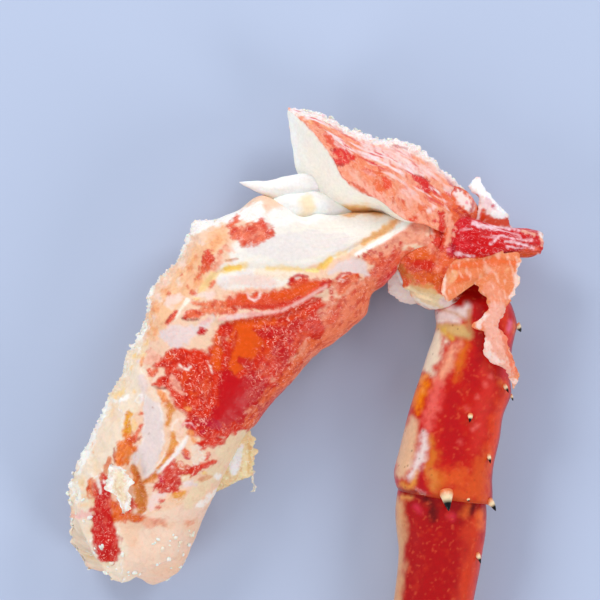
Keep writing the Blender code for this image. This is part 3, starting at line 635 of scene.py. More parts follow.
    (CORAL, 0.95, 0.4, 1, 0, ((-48.3, 65, 0.6), (-47.3, 64, 0.9), (-46, 65, 0.5)),
     ((-36.8, 82, 0.7), (-35.3, 82.8, 1.4), (-33, 83, 1.3), (-31.4, 83, 0.5))),
    (SCARLET, 0.95, 0.4, 1, 0, ((-47, 60.8, 0.4), (-45.2, 60.8, 0.9), (-43.8, 62.5, 0.9), (-43.4, 60.5, 0.5)),
     ((-42.3, 79.8, 0.35), (-41.5, 81, 0.7), (-40.5, 82.5, 0.8), (-39.7, 83.5, 0.5))),
    (WINE, 0.85, 0.2, 1, 0, ((-47.4, 60, 0.2), (-45.3, 59.5, 0.2), (-43.2, 59.5, 0.25)),
     ((-37.7, 81.7, 0.2), (-36.3, 81, 0.2), (-33, 81.3, 0.15)), ((-42.6, 80.3, 0.15), (-41.3, 82.5, 0.15))),
    (tint(252, 226, 210), 0.85, 0.3, 1, 0.15,
     ((-48.9, 62.5, 0.25), (-48, 60.2, 0.25), (-46, 58.8, 0.25), (-43, 58.6, 0.2)),
     ((-47.3, 61.5, 0.2), (-45.7, 63.5, 0.2)),
     ((-38.7, 67, 0.25), (-37.8, 66, 0.3), (-36, 65.3, 0.35), (-35, 66.5, 0.25)),
     ((-29.7, 68, 0.2), (-29, 66.3, 0.25), (-28.2, 64.5, 0.2)),
     ((-36.5, 50, 0.25), (-39, 49.7, 0.35), (-40.8, 48, 0.35), (-41, 46, 0.35), (-40, 44.8, 0.25))),
    (LILAC, 0.95, 1.2, 2.5, 0, ((-44, 77.5, 1.2), (-41, 76.5, 2.8), (-37, 76.5, 3), (-33.5, 78, 1.6),
      (-30, 79.7, 1.5), (-28.2, 81.2, 0.9)), ((-39, 74, 2), (-41, 73.5, 1))),
    (tint(202, 28, 48), 1, 0.4, 1, 0, ((-31.7, 77.5, 1.2), (-32.7, 77, 0.5), (-30.7, 77.6, 0.6))),
    (tint(250, 222, 212), 0.8, 1, 2, 0, ((-42, 86.8, 1.6), (-38.8, 88.2, 1.3)),
     ((-33, 88.8, 0.9), (-29, 89, 1.1))),
    (tint(252, 246, 228), 1, 0.2, 1, 0.4,
     ((-40, 81, 0.2), (-38.7, 83.5, 0.3), (-37.5, 85.5, 0.45), (-36.4, 87.2, 0.9))),
    (PINK, 0.9, 0.3, 2, 0, RIDGE),
    (LILAC, 0.7, 0.4, 2, 0, ((-23.5, 81.8, 0.6), (-18, 82.6, 0.5))),
    (tint(240, 112, 128), 0.85, 0.2, 1, 0.15,
     ((-38.4, 47, 0.25), (-37, 48.5, 0.3), (-35, 48.5, 0.3), (-33.8, 47, 0.25))),
    (tint(249, 214, 192), 0.9, 0.6, 1.5, 0, ((-39, 47.7, 1.1), (-38.5, 45.5, 0.9))),
    # pale slab of muscle, with orange and ochre painted shade along its edge and in the sunken gully beside
    # it
    (AMBER, 0.9, 1, 2, 0, ((-45, 57.5, 1.3), (-43.5, 56.3, 1.2)), ((-35, 45, 1), (-34.5, 43.3, 0.8)),
     ((-36, 53, 0.6),)),
    (tint(222, 142, 60), 0.9, 0.8, 2, 0,
     ((-42, 54, 1.4), (-41.3, 51.5, 0.9), (-42, 49, 0.8), (-43, 47.5, 0.5))),
    (OCHRE, 0.95, 0.7, 2.5, -1,
     ((-53.5, 34.5, 1), (-52.3, 31.5, 1.4), (-51.7, 28, 1.9), (-51.2, 24.5, 2), (-50.7, 21, 1.6)),
     ((-50, 30, 1), (-47.5, 31, 1.4), (-45, 33.5, 0.9))),
    (tint(234, 160, 82), 0.95, 0.7, 2, -0.4,
     ((-45, 34.3, 0.8), (-43, 36.5, 0.8), (-41.5, 39.3, 1), (-40.3, 42, 1.2), (-40.8, 45, 0.9))),
    (tint(234, 216, 210), 1, 0.7, 3, 0.8, SLAB, ((-51.5, 40.8, 0.9), (-52.5, 36.5, 1.2))),
    (tint(245, 216, 188), 0.8, 1, 2, 0, ((-47.5, 58.7, 1.7), (-45.5, 55.7, 0.9))),
    (tint(170, 110, 80), 0.8, 0.1, 1, 0, ((-48.3, 45.2, 0.18),), ((-47, 53.5, 0.14),), ((-50.5, 38.5, 0.16),),
     ((-55, 37.5, 0.14),)),
    # pocket of gold and orange roe juice
    (tint(238, 168, 60), 1, 0.8, 2, -0.8, ((-54.8, 51.2, 0.8), (-55.5, 48.5, 1.3), (-55.3, 45.5, 1.5))),
    (tint(247, 208, 146), 0.8, 0.6, 1.5, 0, ((-53, 49, 0.7), (-53, 46.7, 0.7))),
    (tint(238, 128, 48), 0.95, 1, 1.8, 0,
     ((-54.5, 43.5, 1.7), (-55.5, 41, 2.4), (-57, 38.5, 1.9), (-53.5, 40.5, 1.2)),
     ((-58, 36.3, 0.8), (-55.5, 36.5, 1.1))),
    (CORAL, 0.9, 0.4, 1, 0, ((-53, 43.5, 0.5), (-51.7, 46, 0.4), (-50.6, 48, 0.35)),
     ((-51.2, 51.3, 0.35), (-50.5, 51.6, 0.25))),
    (tint(184, 62, 36), 0.7, 0.2, 1, 0, ((-59.2, 40.5, 0.15), (-59.4, 38, 0.2), (-58.8, 36, 0.15)),
     ((-52.6, 42.5, 0.12), (-51, 44, 0.12))),
    # orange-brown painted shade in the gully along the loose flake's left edge, with a dark red line in it
    (tint(222, 130, 74), 0.8, 0.8, 2, 0, ((-61, 36.5, 0.9), (-62, 33.5, 1.1), (-63.5, 31, 0.9))),
    (tint(150, 36, 28), 0.85, 0.3, 1.5, 0, ((-59.8, 35, 0.25), (-60.3, 33, 0.35), (-60.4, 31, 0.35))),
    # torn end
    (tint(212, 46, 44), 1, 1.2, 2.5, 0,
     ((-62.5, 30.5, 1.2), (-63, 27, 2.3), (-63.3, 23.5, 3.2), (-63, 19, 3.6), (-62.5, 14, 4), (-61.5, 8, 4))),
    (tint(236, 112, 46), 0.95, 0.8, 2, 0, ((-66.7, 30, 0.7), (-67.4, 27.5, 1.1), (-66.8, 25.3, 1)),
     ((-59.5, 22.5, 1.2), (-58.5, 19.5, 1.9), (-54, 18.7, 1.6), (-50.5, 18.3, 0.9)), ((-57.5, 25, 0.9),)),
    (SCARLET, 0.9, 0.6, 1.5, 0, ((-65.7, 28.5, 0.6), (-65.8, 25.5, 0.6)),
     ((-53.8, 24, 0.4), (-53.3, 22.5, 0.8), (-54.5, 20.8, 0.5))),
    (tint(240, 112, 92), 0.6, 0.6, 1, 0, ((-62, 22, 0.6), (-60.7, 24, 0.5)), ((-64.5, 21, 0.5),),
     ((-62.3, 17.5, 0.5),)),
    (tint(248, 228, 216), 1, 0.3, 1, 0.4, ((-64.6, 30.2, 0.4), (-64.3, 28.3, 0.7), (-64, 26, 0.25)),
     ((-62.7, 29.7, 0.5),), ((-61.7, 27.5, 0.3),)),
    (tint(246, 214, 190), 0.95, 1.4, 3, 0,
     ((-46, 18.5, 2.5), (-40, 18.8, 2.5), (-34, 20, 2.8), (-30, 19, 1.5)),
     ((-48, 12, 4), (-40, 11, 4.5), (-52, 4, 5))),
    (tint(240, 172, 140), 0.8, 1.2, 2, 0, ((-49, 17, 1.4), (-44, 16.5, 1.1)), ((-36, 16.5, 1),)),
    (tint(242, 218, 182), 0.95, 1, 3, 0, ((-27, 33, 2.5), (-30, 30, 2.2), (-33, 26.5, 2), (-36, 23, 1.8)),
     ((-24, 38, 3), (-21, 42, 2.5), (-18, 44, 1.5))),
    (NEAR_WHITE, 0.85, 0.8, 2, 0, ((-24, 29.5, 0.7), (-28, 26.5, 0.8), (-31, 24, 0.7), (-33, 22, 0.6)),
     ((-27, 31.3, 0.8),)),
    # red curds and scraps above the torn end
    (tint(245, 218, 208), 0.95, 0.8, 1.5, 0, ((-44, 26, 1.2), (-46.5, 25.3, 1.3), (-47.5, 22.5, 1.5))),
    (tint(216, 56, 48), 0.95, 1.2, 1.5, 0,
     ((-41.3, 35.8, 1.2), (-42.5, 33.5, 1.9), (-39.5, 33.3, 1.8), (-35.5, 33, 1.4), (-32.5, 34.3, 1)),
     ((-43.3, 30.8, 2.2), (-40, 30, 1.9), (-44.7, 28.3, 1.6), (-40.5, 27.6, 1.2)),
     ((-44.5, 23.8, 0.4), (-45.4, 21.5, 0.3))),
    (ROSE, 0.9, 0.6, 1, 0, ((-45, 31.3, 0.6), (-44.3, 29.8, 0.6))),
    (tint(250, 194, 180), 0.8, 0.6, 0.9, 0.15, ((-41, 34.5, 0.3),), ((-43.8, 32, 0.3),), ((-41.3, 29, 0.3),),
     ((-38.6, 31.8, 0.3),), ((-42.3, 27.6, 0.25),), ((-40.4, 32, 0.25),)),
    (tint(230, 116, 50), 0.95, 0.5, 1.2, 0.25, ((-38.6, 35.2, 1.1), (-37.7, 34.3, 0.7))),
    (SCARLET, 0.95, 0.5, 1.2, 0,
     ((-35.5, 33.3, 0.5), (-32.5, 34.5, 0.6), (-29.5, 35.8, 0.9), (-28, 36.3, 0.4)), ((-30.8, 40.8, 0.5),),
     ((-29.6, 38.5, 0.4), (-30.5, 37, 0.4))),
    (tint(241, 218, 198), 0.95, 0.8, 1.5, 0.4, ((-33.7, 40.2, 1.5), (-32.5, 38, 1.7), (-34.3, 36, 1.1))),
    (CORAL, 0.95, 0.3, 1, 0.3, ((-37.2, 40, 0.5), (-36.4, 38.9, 0.9), (-36, 37.8, 0.6))),
    (ROSE, 0.85, 0.2, 1, 0, ((-37.8, 39, 0.2), (-37, 37.7, 0.25), (-35.7, 37.1, 0.2))),
    (GOLD, 0.9, 0.6, 1.5, 0.3,
     ((-41, 24.7, 0.9), (-39.3, 25.5, 1.3), (-37.3, 26.2, 0.7), (-39.3, 23.8, 0.9))),
    (tint(244, 208, 132), 0.9, 0.5, 1.2, 0.2, ((-37.6, 31.1, 0.7), (-35.8, 31.3, 0.6)), ((-31, 32.5, 0.6),)),
    (LILAC, 0.95, 0.6, 1.5, 0.3, ((-37, 28.7, 0.8), (-35, 29.3, 1), (-33.7, 28.7, 0.6))),
    # gold painted shade in the cleft below the flap, then thin washes of juice, tan and pink
    (tint(240, 182, 112), 0.85, 0.6, 2, 0,
     ((12, 113.6, 0.8), (17, 114, 1.3), (22, 113.6, 1.1), (25, 112.8, 0.5))),
    (tint(230, 172, 126), 0.8, 0.8, 2, 0, ((-31.8, 30.6, 1), (-29.6, 31.2, 0.8))),
    (tint(244, 214, 200), 0.7, 1, 4, 0, ((-22, 93.3, 1.1), (-15, 93.6, 1.5), (-9, 92.8, 0.9))),
    (tint(240, 192, 186), 0.8, 0.8, 2, 0, ((-32, 80, 0.7), (-29.5, 81, 0.8))),
    # white edge of the fold over the curds
    (tint(252, 240, 234), 1, 0.3, 2, 0.5, ((-36.3, 44, 0.5), (-37.5, 42, 0.7), (-39.2, 39.5, 0.6),
      (-41.5, 37, 0.5), (-43.7, 34.7, 0.5), (-45.6, 32.7, 0.5))),
)


def is_reddish(colour):
    """How far a colour is from white meat, 0 to 1: its red less its green, over its red."""
    return np.clip((colour[..., 0] - colour[..., 1]) / colour[..., 0] * 1.5 - 0.45, 0, 1)


def paint(points, base, stains_and_painted_light, soft=0.7, rim=0.35):
    """The base colour with each stain, painted shade or painted highlight laid over it in turn. The more
    ragged a stain, the softer its edge. The pigment of a red one gathers in a darker rim there, and one that
    stands up or lies deep gets a pale lip, painted on as a highlight."""
    colour = np.broadcast_to(base, points.shape).copy()
    for number, (new, strength, ragged, cell, height, *strokes) in enumerate(stains_and_painted_light):
        gap = ragged_gap(points, strokes, ragged, cell, number)
        t = np.clip(0.5 - gap / soft / (1 + ragged), 0, 1)
        mask = t * t * (3 - 2 * t)
        colour = lay_colour(colour, strength * mask, new)
        if new[0] > 3.5 * new[1]:
            colour = lay_colour(colour, rim * 4 * mask * (1 - mask), new * 0.8)
        # A pale lip is painted along the rim as a highlight.
        if height:
            broken = np.clip(grain(points, 4, number) * 2.5 + 0.5, 0, 1)
            lit_lip = np.exp(-(((gap + 0.4 * np.sign(height)) / 0.3) ** 2))
            colour = lay_colour(colour, 0.6 * broken * lit_lip, LIP_HIGHLIGHT)
    return colour


def standing(points, stains_and_painted_light):
    """How far the stains with a height stand out, in millimetres: as 1 - exp(-d / 1.2), where d is how deep
    inside a point lies. A sunken one has a raised lip round it."""
    relief = np.zeros(points.shape[:-1])
    for number, (_, _, ragged, cell, height, *strokes) in enumerate(stains_and_painted_light):
        if height:
            gap = ragged_gap(points, strokes, ragged, cell, number)
            relief += height * (1 - np.exp(np.minimum(gap, 0) / 1.2))
            relief += 0.25 * (height < 0) * np.exp(-(((gap - 0.4) / 0.4) ** 2))
    return relief


def drawn_out(points, way, times):
    """The points squeezed along a direction in the plane, so that grain comes out that many times longer."""
    way = np.array((*way, 0.0)) / np.hypot(*way)
    return points - (1 - 1 / times) * (points @ way)[..., None] * way


def marbled(points, colour, where, pale, dark, cell, seed):
    """Cooked skin: thin pale curls where one layered grain crosses zero, partly pale skin and partly painted
    wet glints, and darker blots where one is high.
    """
    glinting_curls = np.clip(1 - np.abs(layered(points, cell, 2, seed)) / 0.16, 0, 1)
    glinting_curls *= np.clip(grain(points, cell * 3, seed + 5) * 2 + 0.6, 0, 1)
    blots = np.clip(layered(points, cell * 1.7, 3, seed + 9) * 2.4 - 0.5, 0, 1)
    colour = lay_colour(colour, where * blots * 0.75, dark)
    return lay_colour(colour, where * glinting_curls * 0.4, pale)


def frayed(points, across, reach, cell, seed, first=0.1, last=0.1):
    """The points near both edges, within those shares across, moved in and out by layered grain."""
    out = points - points.mean(1, keepdims=True)
    out[..., 2] = 0
    out /= np.linalg.norm(out, axis=-1, keepdims=True) + 1e-9
    near = np.clip(1 - across / first, 0, 1) + np.clip(1 - (1 - across) / last, 0, 1)
    return points + out * (near * reach * layered(points, cell, 3, seed))[..., None]


thigh, along, across, up = skin_surface(THIGH, rings=390, sides=250, torn=0.07, ends=(1.0, 2.5))
shown = np.clip(up * 2.5 + 1.0, 0, 1)
# The stains cover the upper side. Underneath lies plainer skin with broad red blotches.
UNDER_STAINS = ((tint(222, 74, 50), 0.9, 9, 9, 0, ((30, 105, 4), (-20, 85, 12), (-60, 20, 8))),)
under_tint = paint(thigh, tint(244, 206, 180), UNDER_STAINS)
above = np.clip(up * 3 + 1.2 + 0.5 * layered(thigh, 4, 3, 50), 0, 1)
thigh_tint = lay_colour(under_tint, above, paint(thigh, PEACH, THIGH_STAINS_AND_PAINTED_LIGHT))
# The red is curled and blotted, less so where the muscle lies smooth; the pale curls are partly painted
# glints.
belly = covered(thigh, BELLY, edge=2.0) * shown
curd = covered(thigh, CURD, edge=5.0, ragged=2.0, cell=6, seed=3)
red = is_reddish(thigh_tint)
smooth_red = np.maximum.reduce((
    covered(thigh, ORANGE_CORE, edge=5.0, ragged=2.0, cell=4, seed=2),
    covered(thigh, CRIMSON_CORE, edge=4.0, ragged=2.0, cell=4, seed=3),
    0.7 * covered(thigh, BAND, edge=1.5),
))
rough_red = red * (1 - smooth_red)
thigh_tint = marbled(thigh, thigh_tint, rough_red, tint(250, 168, 148), tint(196, 36, 40), 1.2, 60)
stretched = drawn_out(thigh, (0.7, 1), 3)
thigh_tint = marbled(stretched, thigh_tint, rough_red, tint(246, 150, 124), tint(206, 48, 40), 1.1, 70)
# The curds are folded: gold painted shade in the hollows, and thin curled rims painted white as highlights.
warped = thigh + 1.3 * np.stack([layered(thigh, 4, 2, 61 + k) for k in range(3)], -1)
folds = layered(warped, 7.0, 2, 61)
glinting_curls = np.clip(1 - np.abs(layered(warped, 8, 2, 64)) / 0.07, 0, 1)
glinting_curls = glinting_curls * np.clip(grain(thigh, 8, 66) * 3 + 0.5, 0, 1) * curd * (1 - red)
shaded_hollows = np.clip(-folds * 1.8 - 0.4, 0, 1) * curd * (1 - red)
thigh_tint = lay_colour(thigh_tint, shaded_hollows * 0.6, tint(246, 204, 144))
thigh_tint = lay_colour(thigh_tint, glinting_curls * 0.8, tint(255, 252, 247))
# The fibres of the belly muscle run along the thigh.
muscle = np.stack((across * 45, along * 7, 0 * along), -1)
fibres = grain(muscle, 1.0, 4) + 0.6 * grain(muscle * 2.1, 1.0, 5)
thigh_tint = lay_colour(thigh_tint, belly * np.clip(fibres * 0.8 - 0.1, 0, 1) * 0.16, tint(246, 220, 198))
# Relief in millimetres: broad swells, then the fibres, rough red, curds, stains and long folds.
relief = 0.55 * layered(thigh, 14, 2, 7) + 0.25 * (1 - belly) * layered(thigh, 5, 2, 8)
relief += belly * 0.10 * fibres
relief += red * shown * (0.25 + 0.12 * (1 - smooth_red) * layered(thigh, 1.7, 2, 9))
relief += (
    curd * (0.6 * folds + 0.12 * layered(thigh, 1.8, 2, 67)) + 0.4 * glinting_curls
    + standing(thigh, THIGH_STAINS_AND_PAINTED_LIGHT) * shown
)
for line, height, width in (
    (CREVICE, -1.1, 1.2), (RIDGE, 0.8, 0.8), (UNDER_RIDGE, -0.5, 1.2), (LIP, 1.0, 1.2), (SHOULDER, 2.4, 2.6),
):
    relief += height * bump_along(thigh, line, width) * shown
# The outer side is frayed from a third of its length on.
ragged_side = np.clip(1 - across * 7, 0, 1) * np.clip((along - 0.3) * 8, 0, 1) * np.clip(up + 1.2, 0, 1)
fringe = 1.5 * np.abs(layered(thigh, 3.4, 2, 11)) + 1.1 * np.abs(layered(thigh, 1.3, 2, 12)) - 1.5
relief += ragged_side * fringe
thigh = thigh + outward(thigh) * relief[..., None]
thigh[..., 2] = np.clip(thigh[..., 2], 0, cad_high.z / MM - 0.05)
thigh_wet = np.clip(0.35 + 0.65 * red + 0.15 * belly - 0.25 * curd, 0, 1)
slab = covered(thigh, SLAB, edge=2.0)
patchy = 0.65 + 0.5 * layered(thigh, 9, 2, 72)
# pale threads over the rough red and faintly over the pale meat, partly painted glints
thigh_threads_and_glints = rough_red * patchy + 0.3 * (1 - red) * (1 - belly) * (1 - 0.6 * curd) * (1 - slab)
thigh_threads_and_glints = np.clip(thigh_threads_and_glints, 0, 1)
meat = wet_flesh("moist thigh meat", cells=900, mottle=0.05, bump=0.3, rough=(0.5, 0.36), coat=0.1,
                 scatter=0.25)
fit(tube_object("thigh_meat", thigh, tint=thigh_tint, wet=thigh_wet, threads=thigh_threads_and_glints), meat,
    "merus_meat")

# ------------------------------------------------------------------ torn flap
# The meat of the knee end hangs over as a flap: red skin outside, and a smooth white torn face inside.
# It is grown to the knuckle at its thick end.

# Sections from the thick end to the tip: top edge, torn edge, middle height, rise, drop, and where the
# crease lies.
FLAP = np.array((
    (56.0, 115.0, 47.8, 107.8, 16.0, 6.0, 4.0, 0.98),
    (52.0, 122.5, 43.5, 109.2, 17.0, 8.0, 5.5, 0.98),
    (44.0, 130.0, 38.5, 110.8, 17.0, 10.0, 7.0, 0.965),
    (38.0, 135.5, 31.2, 111.6, 17.0, 12.5, 8.5, 0.93),
    (31.5, 138.5, 24.0, 115.0, 17.0, 14.0, 9.5, 0.85),
    (25.0, 139.0, 15.5, 114.0, 17.0, 14.3, 10.0, 0.68),
    (18.5, 141.0, 7.5, 114.5, 17.0, 13.8, 9.5, 0.54),
    (14.0, 142.5, 3.0, 120.5, 17.0, 12.8, 8.5, 0.43),
    (6.5, 147.0, -1.5, 128.5, 17.0, 10.3, 6.5, 0.35),
    (1.0, 148.2, -3.0, 137.0, 17.0, 7.0, 4.5, 0.30),
    (-4.0, 149.0, -4.3, 145.5, 17.0, 1.8, 1.2, 0.30),
))


def roof(share):
    """Height across the flap: bulging up to the crease with the power 0.65, hollow beyond it with 1.25."""
    return np.where(share < 0.5, (share * 2) ** 0.65, (2 - 2 * share) ** 1.25)


# Stains that run over the knee from the flap onto the knuckle and the roll.
KNEE_STAINS = (
    (tint(239, 106, 62), 0.9, 1, 2, 0, ((45.5, 120.5, 1), (47.8, 117.8, 1.3), (48.5, 115, 0.8))),
    (tint(250, 226, 219), 0.95, 1, 2, 0, ((49.8, 122, 1.2), (51.3, 119.3, 1.8), (53.3, 117.3, 1.7)),
     ((53.5, 121, 0.9),)),
    (tint(248, 176, 148), 0.85, 1, 1.5, 0,
     ((46.6, 114, 1.1), (47.3, 110.5, 1.2), (46.5, 107.3, 1.1), (46, 104.8, 0.7))),
    (tint(219, 46, 36), 0.95, 0.9, 1.5, 0,
     ((43.4, 116, 0.4), (44.8, 114, 0.8), (44.4, 110.5, 1), (44, 107.5, 1.1), (44.3, 104.5, 0.8)),
     ((42.4, 112.6, 0.6),)),
    (tint(217, 34, 44), 0.95, 0.9, 2, 0,
     ((51, 112.2, 0.7), (51.5, 108.5, 1.9), (51, 105, 2.5), (49.3, 102.8, 1.7))),
    (tint(198, 36, 58), 0.85, 0.6, 1.5, 0, ((47.5, 104.2, 0.9), (47, 102, 0.9))),
    (tint(245, 134, 152), 0.85, 0.4, 1, 0, ((46.6, 103.2, 0.6),), ((52.6, 118.5, 0.35),)),
    (CRIMSON, 0.9, 0.4, 1.5, 0, ((46.3, 126.5, 0.25), (47.8, 124.5, 0.5), (49, 122.6, 0.3)),
     ((49.8, 124.6, 0.25), (50.7, 122.5, 0.2)), ((44, 129.2, 0.25), (45.6, 127.6, 0.25)),
     ((48.5, 116.3, 0.25), (50.5, 114.8, 0.3), (53.3, 112.7, 0.25)), ((50, 117, 0.2), (53.5, 114, 0.2)),
     ((54.6, 118.8, 0.25), (54.3, 115.8, 0.3))),
)
FLAP_STAINS_AND_HIGHLIGHTS = (
    (tint(244, 140, 98), 0.85, 1.2, 4, 0,
     ((17, 136, 1.5), (18, 131, 2.5), (23, 126, 3.5), (28, 122, 3), (32, 117.5, 2))),
    (tint(248, 180, 158), 0.8, 1.2, 2, 0,
     ((16, 127.5, 1.4), (20, 123.5, 1.3), (26, 118.5, 1.8), (31, 115, 1.4)),
     ((31, 121, 1.3), (34, 118, 1.4))),
    (tint(238, 110, 64), 0.85, 1, 3, 0, ((24.3, 126.5, 1.3), (25, 123, 1.4)),
     ((42, 121.5, 1.8), (45, 118.7, 1.6)), ((38, 116.5, 0.7), (39.3, 117, 0.4))),
    (tint(249, 216, 210), 0.8, 1.2, 2, 0, ((20, 137, 1.5), (27, 133, 2.2), (33, 130.5, 2), (40, 128, 1.4)),
     ((26, 137, 1), (34, 134, 1.2)), ((41, 116.2, 0.7), (42, 117, 0.5))),
    (tint(248, 178, 124), 0.85, 0.6, 2, 0, ((3, 144.7, 0.7), (7.5, 144, 1.2), (10.5, 142.5, 0.7))),
    # near white painted highlight along the lit top edge
    (NEAR_WHITE, 0.9, 1, 2, 0, ((-2, 147.5, 1.8), (4, 146.5, 1.2), (10, 143.8, 1.1), (18, 139.7, 1.2),
      (26, 138, 1.2), (32, 138.3, 1.9), (36, 135.8, 1.2), (42, 131.6, 1.1), (46, 128.2, 0.7))),
)
FLAP_BLOTS = (
    (tint(236, 94, 66), 0.9, 0.6, 1.5, 0, ((7.3, 139.8, 0.6), (9, 138, 1.1), (10, 136.5, 0.6))),
    (tint(229, 42, 34), 0.95, 0.6, 1.5, 0,
     ((10.3, 134.6, 0.8), (12.3, 134, 1.6), (14, 133, 1.5), (16, 132.6, 0.7)),
     ((10, 131.8, 0.7), (12, 131.2, 1), (14.5, 131.2, 0.6))),
    (tint(246, 128, 98), 0.8, 0.3, 1, 0, ((14.7, 132.7, 0.45),), ((12.2, 134.2, 0.3), (13, 133, 0.25))),
    (tint(184, 26, 36), 0.8, 0.3, 1, 0, ((9, 135, 0.2), (10.5, 135.1, 0.25)),
     ((9.8, 132, 0.25), (10.8, 130.3, 0.25), (13, 130, 0.2))),
    (tint(222, 28, 34), 0.95, 0.4, 1.5, 0,
     ((35.7, 126.8, 0.35), (37.5, 126, 0.9), (38.8, 124.5, 1.4), (39.8, 122.6, 1.2))),
    (tint(190, 26, 42), 0.8, 0.2, 1, 0, ((36, 127.2, 0.2), (38, 126.9, 0.2), (40.6, 125.3, 0.25)),
     ((29, 136.6, 0.25), (31, 136.3, 0.35), (33.5, 135.9, 0.35))),
    (tint(236, 72, 38), 0.9, 0.6, 1.5, 0, ((26.3, 125.6, 0.8), (27, 123.8, 1.3)),
     ((25, 128.9, 0.35), (24.3, 129.6, 0.25)), ((35.3, 113, 0.9),)),
    (tint(248, 150, 110), 0.8, 0.2, 1, 0, ((35.1, 113.2, 0.35),)),
    (tint(222, 84, 58), 0.8, 0.4, 1.2, 0,
     ((11.6, 128, 0.3), (12.6, 125.7, 0.35), (16, 124.3, 0.3), (19, 122, 0.4), (22, 120.4, 0.3)),
     ((28.6, 120, 0.25), (29, 118.6, 0.2)), ((32, 118.8, 0.25),)),
)
FACE_STAINS_AND_SHADE = (
    (tint(253, 240, 226), 0.7, 1, 4, 0, ((3, 139, 2.5), (5, 132, 3.2), (8, 125, 3.5), (12, 120.5, 3))),
    (NEAR_WHITE, 0.9, 1, 3, 0, ((-3.3, 147, 1.5), (-3, 141, 1.2), (-1.8, 134, 1.2), (-1, 128.5, 1.2))),
    # tan and gold painted shade at the foot of the torn face, by the lobe and the thigh
    (tint(250, 226, 184), 0.8, 0.8, 4, 0, ((1, 119, 1.7), (2.5, 116, 1.4))),
    (tint(244, 188, 108), 0.9, 0.6, 3, 0,
     ((12, 116.3, 0.7), (16, 116.4, 1.6), (20, 116, 1.7), (23.5, 114.8, 1))),
    (tint(230, 156, 68), 0.8, 0.4, 2, 0, ((16, 113.2, 0.4), (19, 113.4, 0.35))),
)
flap, _, across, up = skin_surface(FLAP, rings=200, sides=210, rise=roof)
lengthwise = drawn_out(flap, (1, -0.52), 7)
skin_tint = paint(flap, tint(246, 158, 124), FLAP_STAINS_AND_HIGHLIGHTS)
hairs = np.clip(layered(drawn_out(flap, (0.5, -1), 3), 0.9, 2, 21) * 2.2 - 0.4, 0, 1)
skin_tint = lay_colour(skin_tint, hairs * 0.4, tint(250, 208, 186))
hairs = np.clip(layered(drawn_out(flap, (0.5, -1), 3), 1.1, 2, 22) * 2.2 - 0.6, 0, 1)
skin_tint = lay_colour(skin_tint, hairs * 0.5, tint(228, 88, 58))
ridge = np.clip(1.25 - np.abs(across - 0.2) * 7, 0, 1)
# pale streaks along the top ridge, painted as glints
glinting_streaks = np.clip(layered(lengthwise, 1.6, 2, 23) * 3, 0, 1)
skin_tint = lay_colour(skin_tint, ridge * glinting_streaks, tint(252, 224, 222))
red_streaks = np.clip(layered(lengthwise, 1.3, 2, 24) * 3 - 0.8, 0, 1)
skin_tint = lay_colour(skin_tint, ridge * red_streaks, tint(226, 70, 72))
skin_tint = paint(flap, skin_tint, KNEE_STAINS + FLAP_BLOTS, 0.5)
face_tint = paint(flap, tint(253, 246, 233), FACE_STAINS_AND_SHADE, 1.5)
face_fibres = np.clip(layered(drawn_out(flap, (0.25, 1), 5), 3, 2, 25), 0, 1)
face_tint = lay_colour(face_tint, face_fibres * 0.25, tint(250, 226, 206))
torn_side = np.clip((across - 0.5) * 40 + 0.6 * layered(flap, 2.2, 3, 26), 0, 1) * (up > -0.02)
torn_side = torn_side * np.clip((36 - flap[..., 0]) / 2, 0, 1)
flap_tint = lay_colour(skin_tint, torn_side, face_tint)
# the top edge painted near white as a highlight
flap_tint = lay_colour(flap_tint, np.clip(1 - across * 14, 0, 1) * (up > -0.3), tint(254, 244, 240))
below = np.clip(-up * 4 - 1, 0, 1)
flap_tint = lay_colour(flap_tint, below, tint(243, 214, 192))
skin_side = (1 - torn_side) * (1 - below)
relief = 0.4 * layered(flap, 9, 2, 27) + skin_side * 0.16 * layered(flap, 1.8, 2, 28)
relief += skin_side * ridge * 0.45 * layered(lengthwise, 1.8, 2, 23)
relief += torn_side * 0.12 * layered(drawn_out(flap, (0.25, 1), 5), 2.5, 2, 25)
relief += np.clip(1 - across * 10, 0, 1) * (1.5 * np.abs(layered(flap, 3.0, 3, 29)) - 0.5)
flap = flap + outward(flap) * relief[..., None]
torn_meat = wet_flesh("torn white meat and skin", cells=1000, mottle=0.05, bump=0.35, rough=(0.45, 0.34),
                      coat=0.2, scatter=0.35)
flap_wet = np.clip(0.3 + 0.6 * skin_side, 0, 1)
fit(tube_object("flap", flap, tint=flap_tint, wet=flap_wet, threads=0.6 * skin_side), torn_meat,
    "torn_flap")

# ------------------------------------------------------------------ inner lobe and shard
# Two small lumps of white muscle torn loose below the flap: a rounded lobe, and a pointed shard that sticks
# out. Both are still grown to the thigh at their right ends.

SHARD = np.array((
    (5.0, 128.6, 5.0, 118.5, 16.5, 3.4, 2.6),
    (-0.5, 127.9, -0.5, 118.0, 17.5, 3.6, 2.6),
    (-5.0, 126.9, -4.5, 118.5, 18.0, 3.0, 2.4),
    (-11.0, 125.8, -10.5, 120.2, 18.0, 2.4, 2.0),
    (-15.0, 125.5, -14.5, 122.0, 18.0, 1.6, 1.4),
    (-19.7, 125.2, -19.3, 124.6, 17.5, 0.5, 0.5),
))
LOBE = np.array((
    (14.0, 121.0, 16.5, 113.5, 15.0, 4.5, 5.0),
    (5.0, 122.5, 6.5, 112.5, 16.0, 7.5, 7.5),
    (0.5, 122.2, 0.0, 111.5, 16.5, 8.5, 8.0),
    (-4.5, 122.0, -5.0, 112.0, 16.0, 8.0, 7.5),
    (-9.5, 120.3, -9.5, 113.5, 15.0, 6.0, 6.0),
    (-13.0, 119.0, -13.0, 115.5, 14.0, 3.0, 3.0),
))
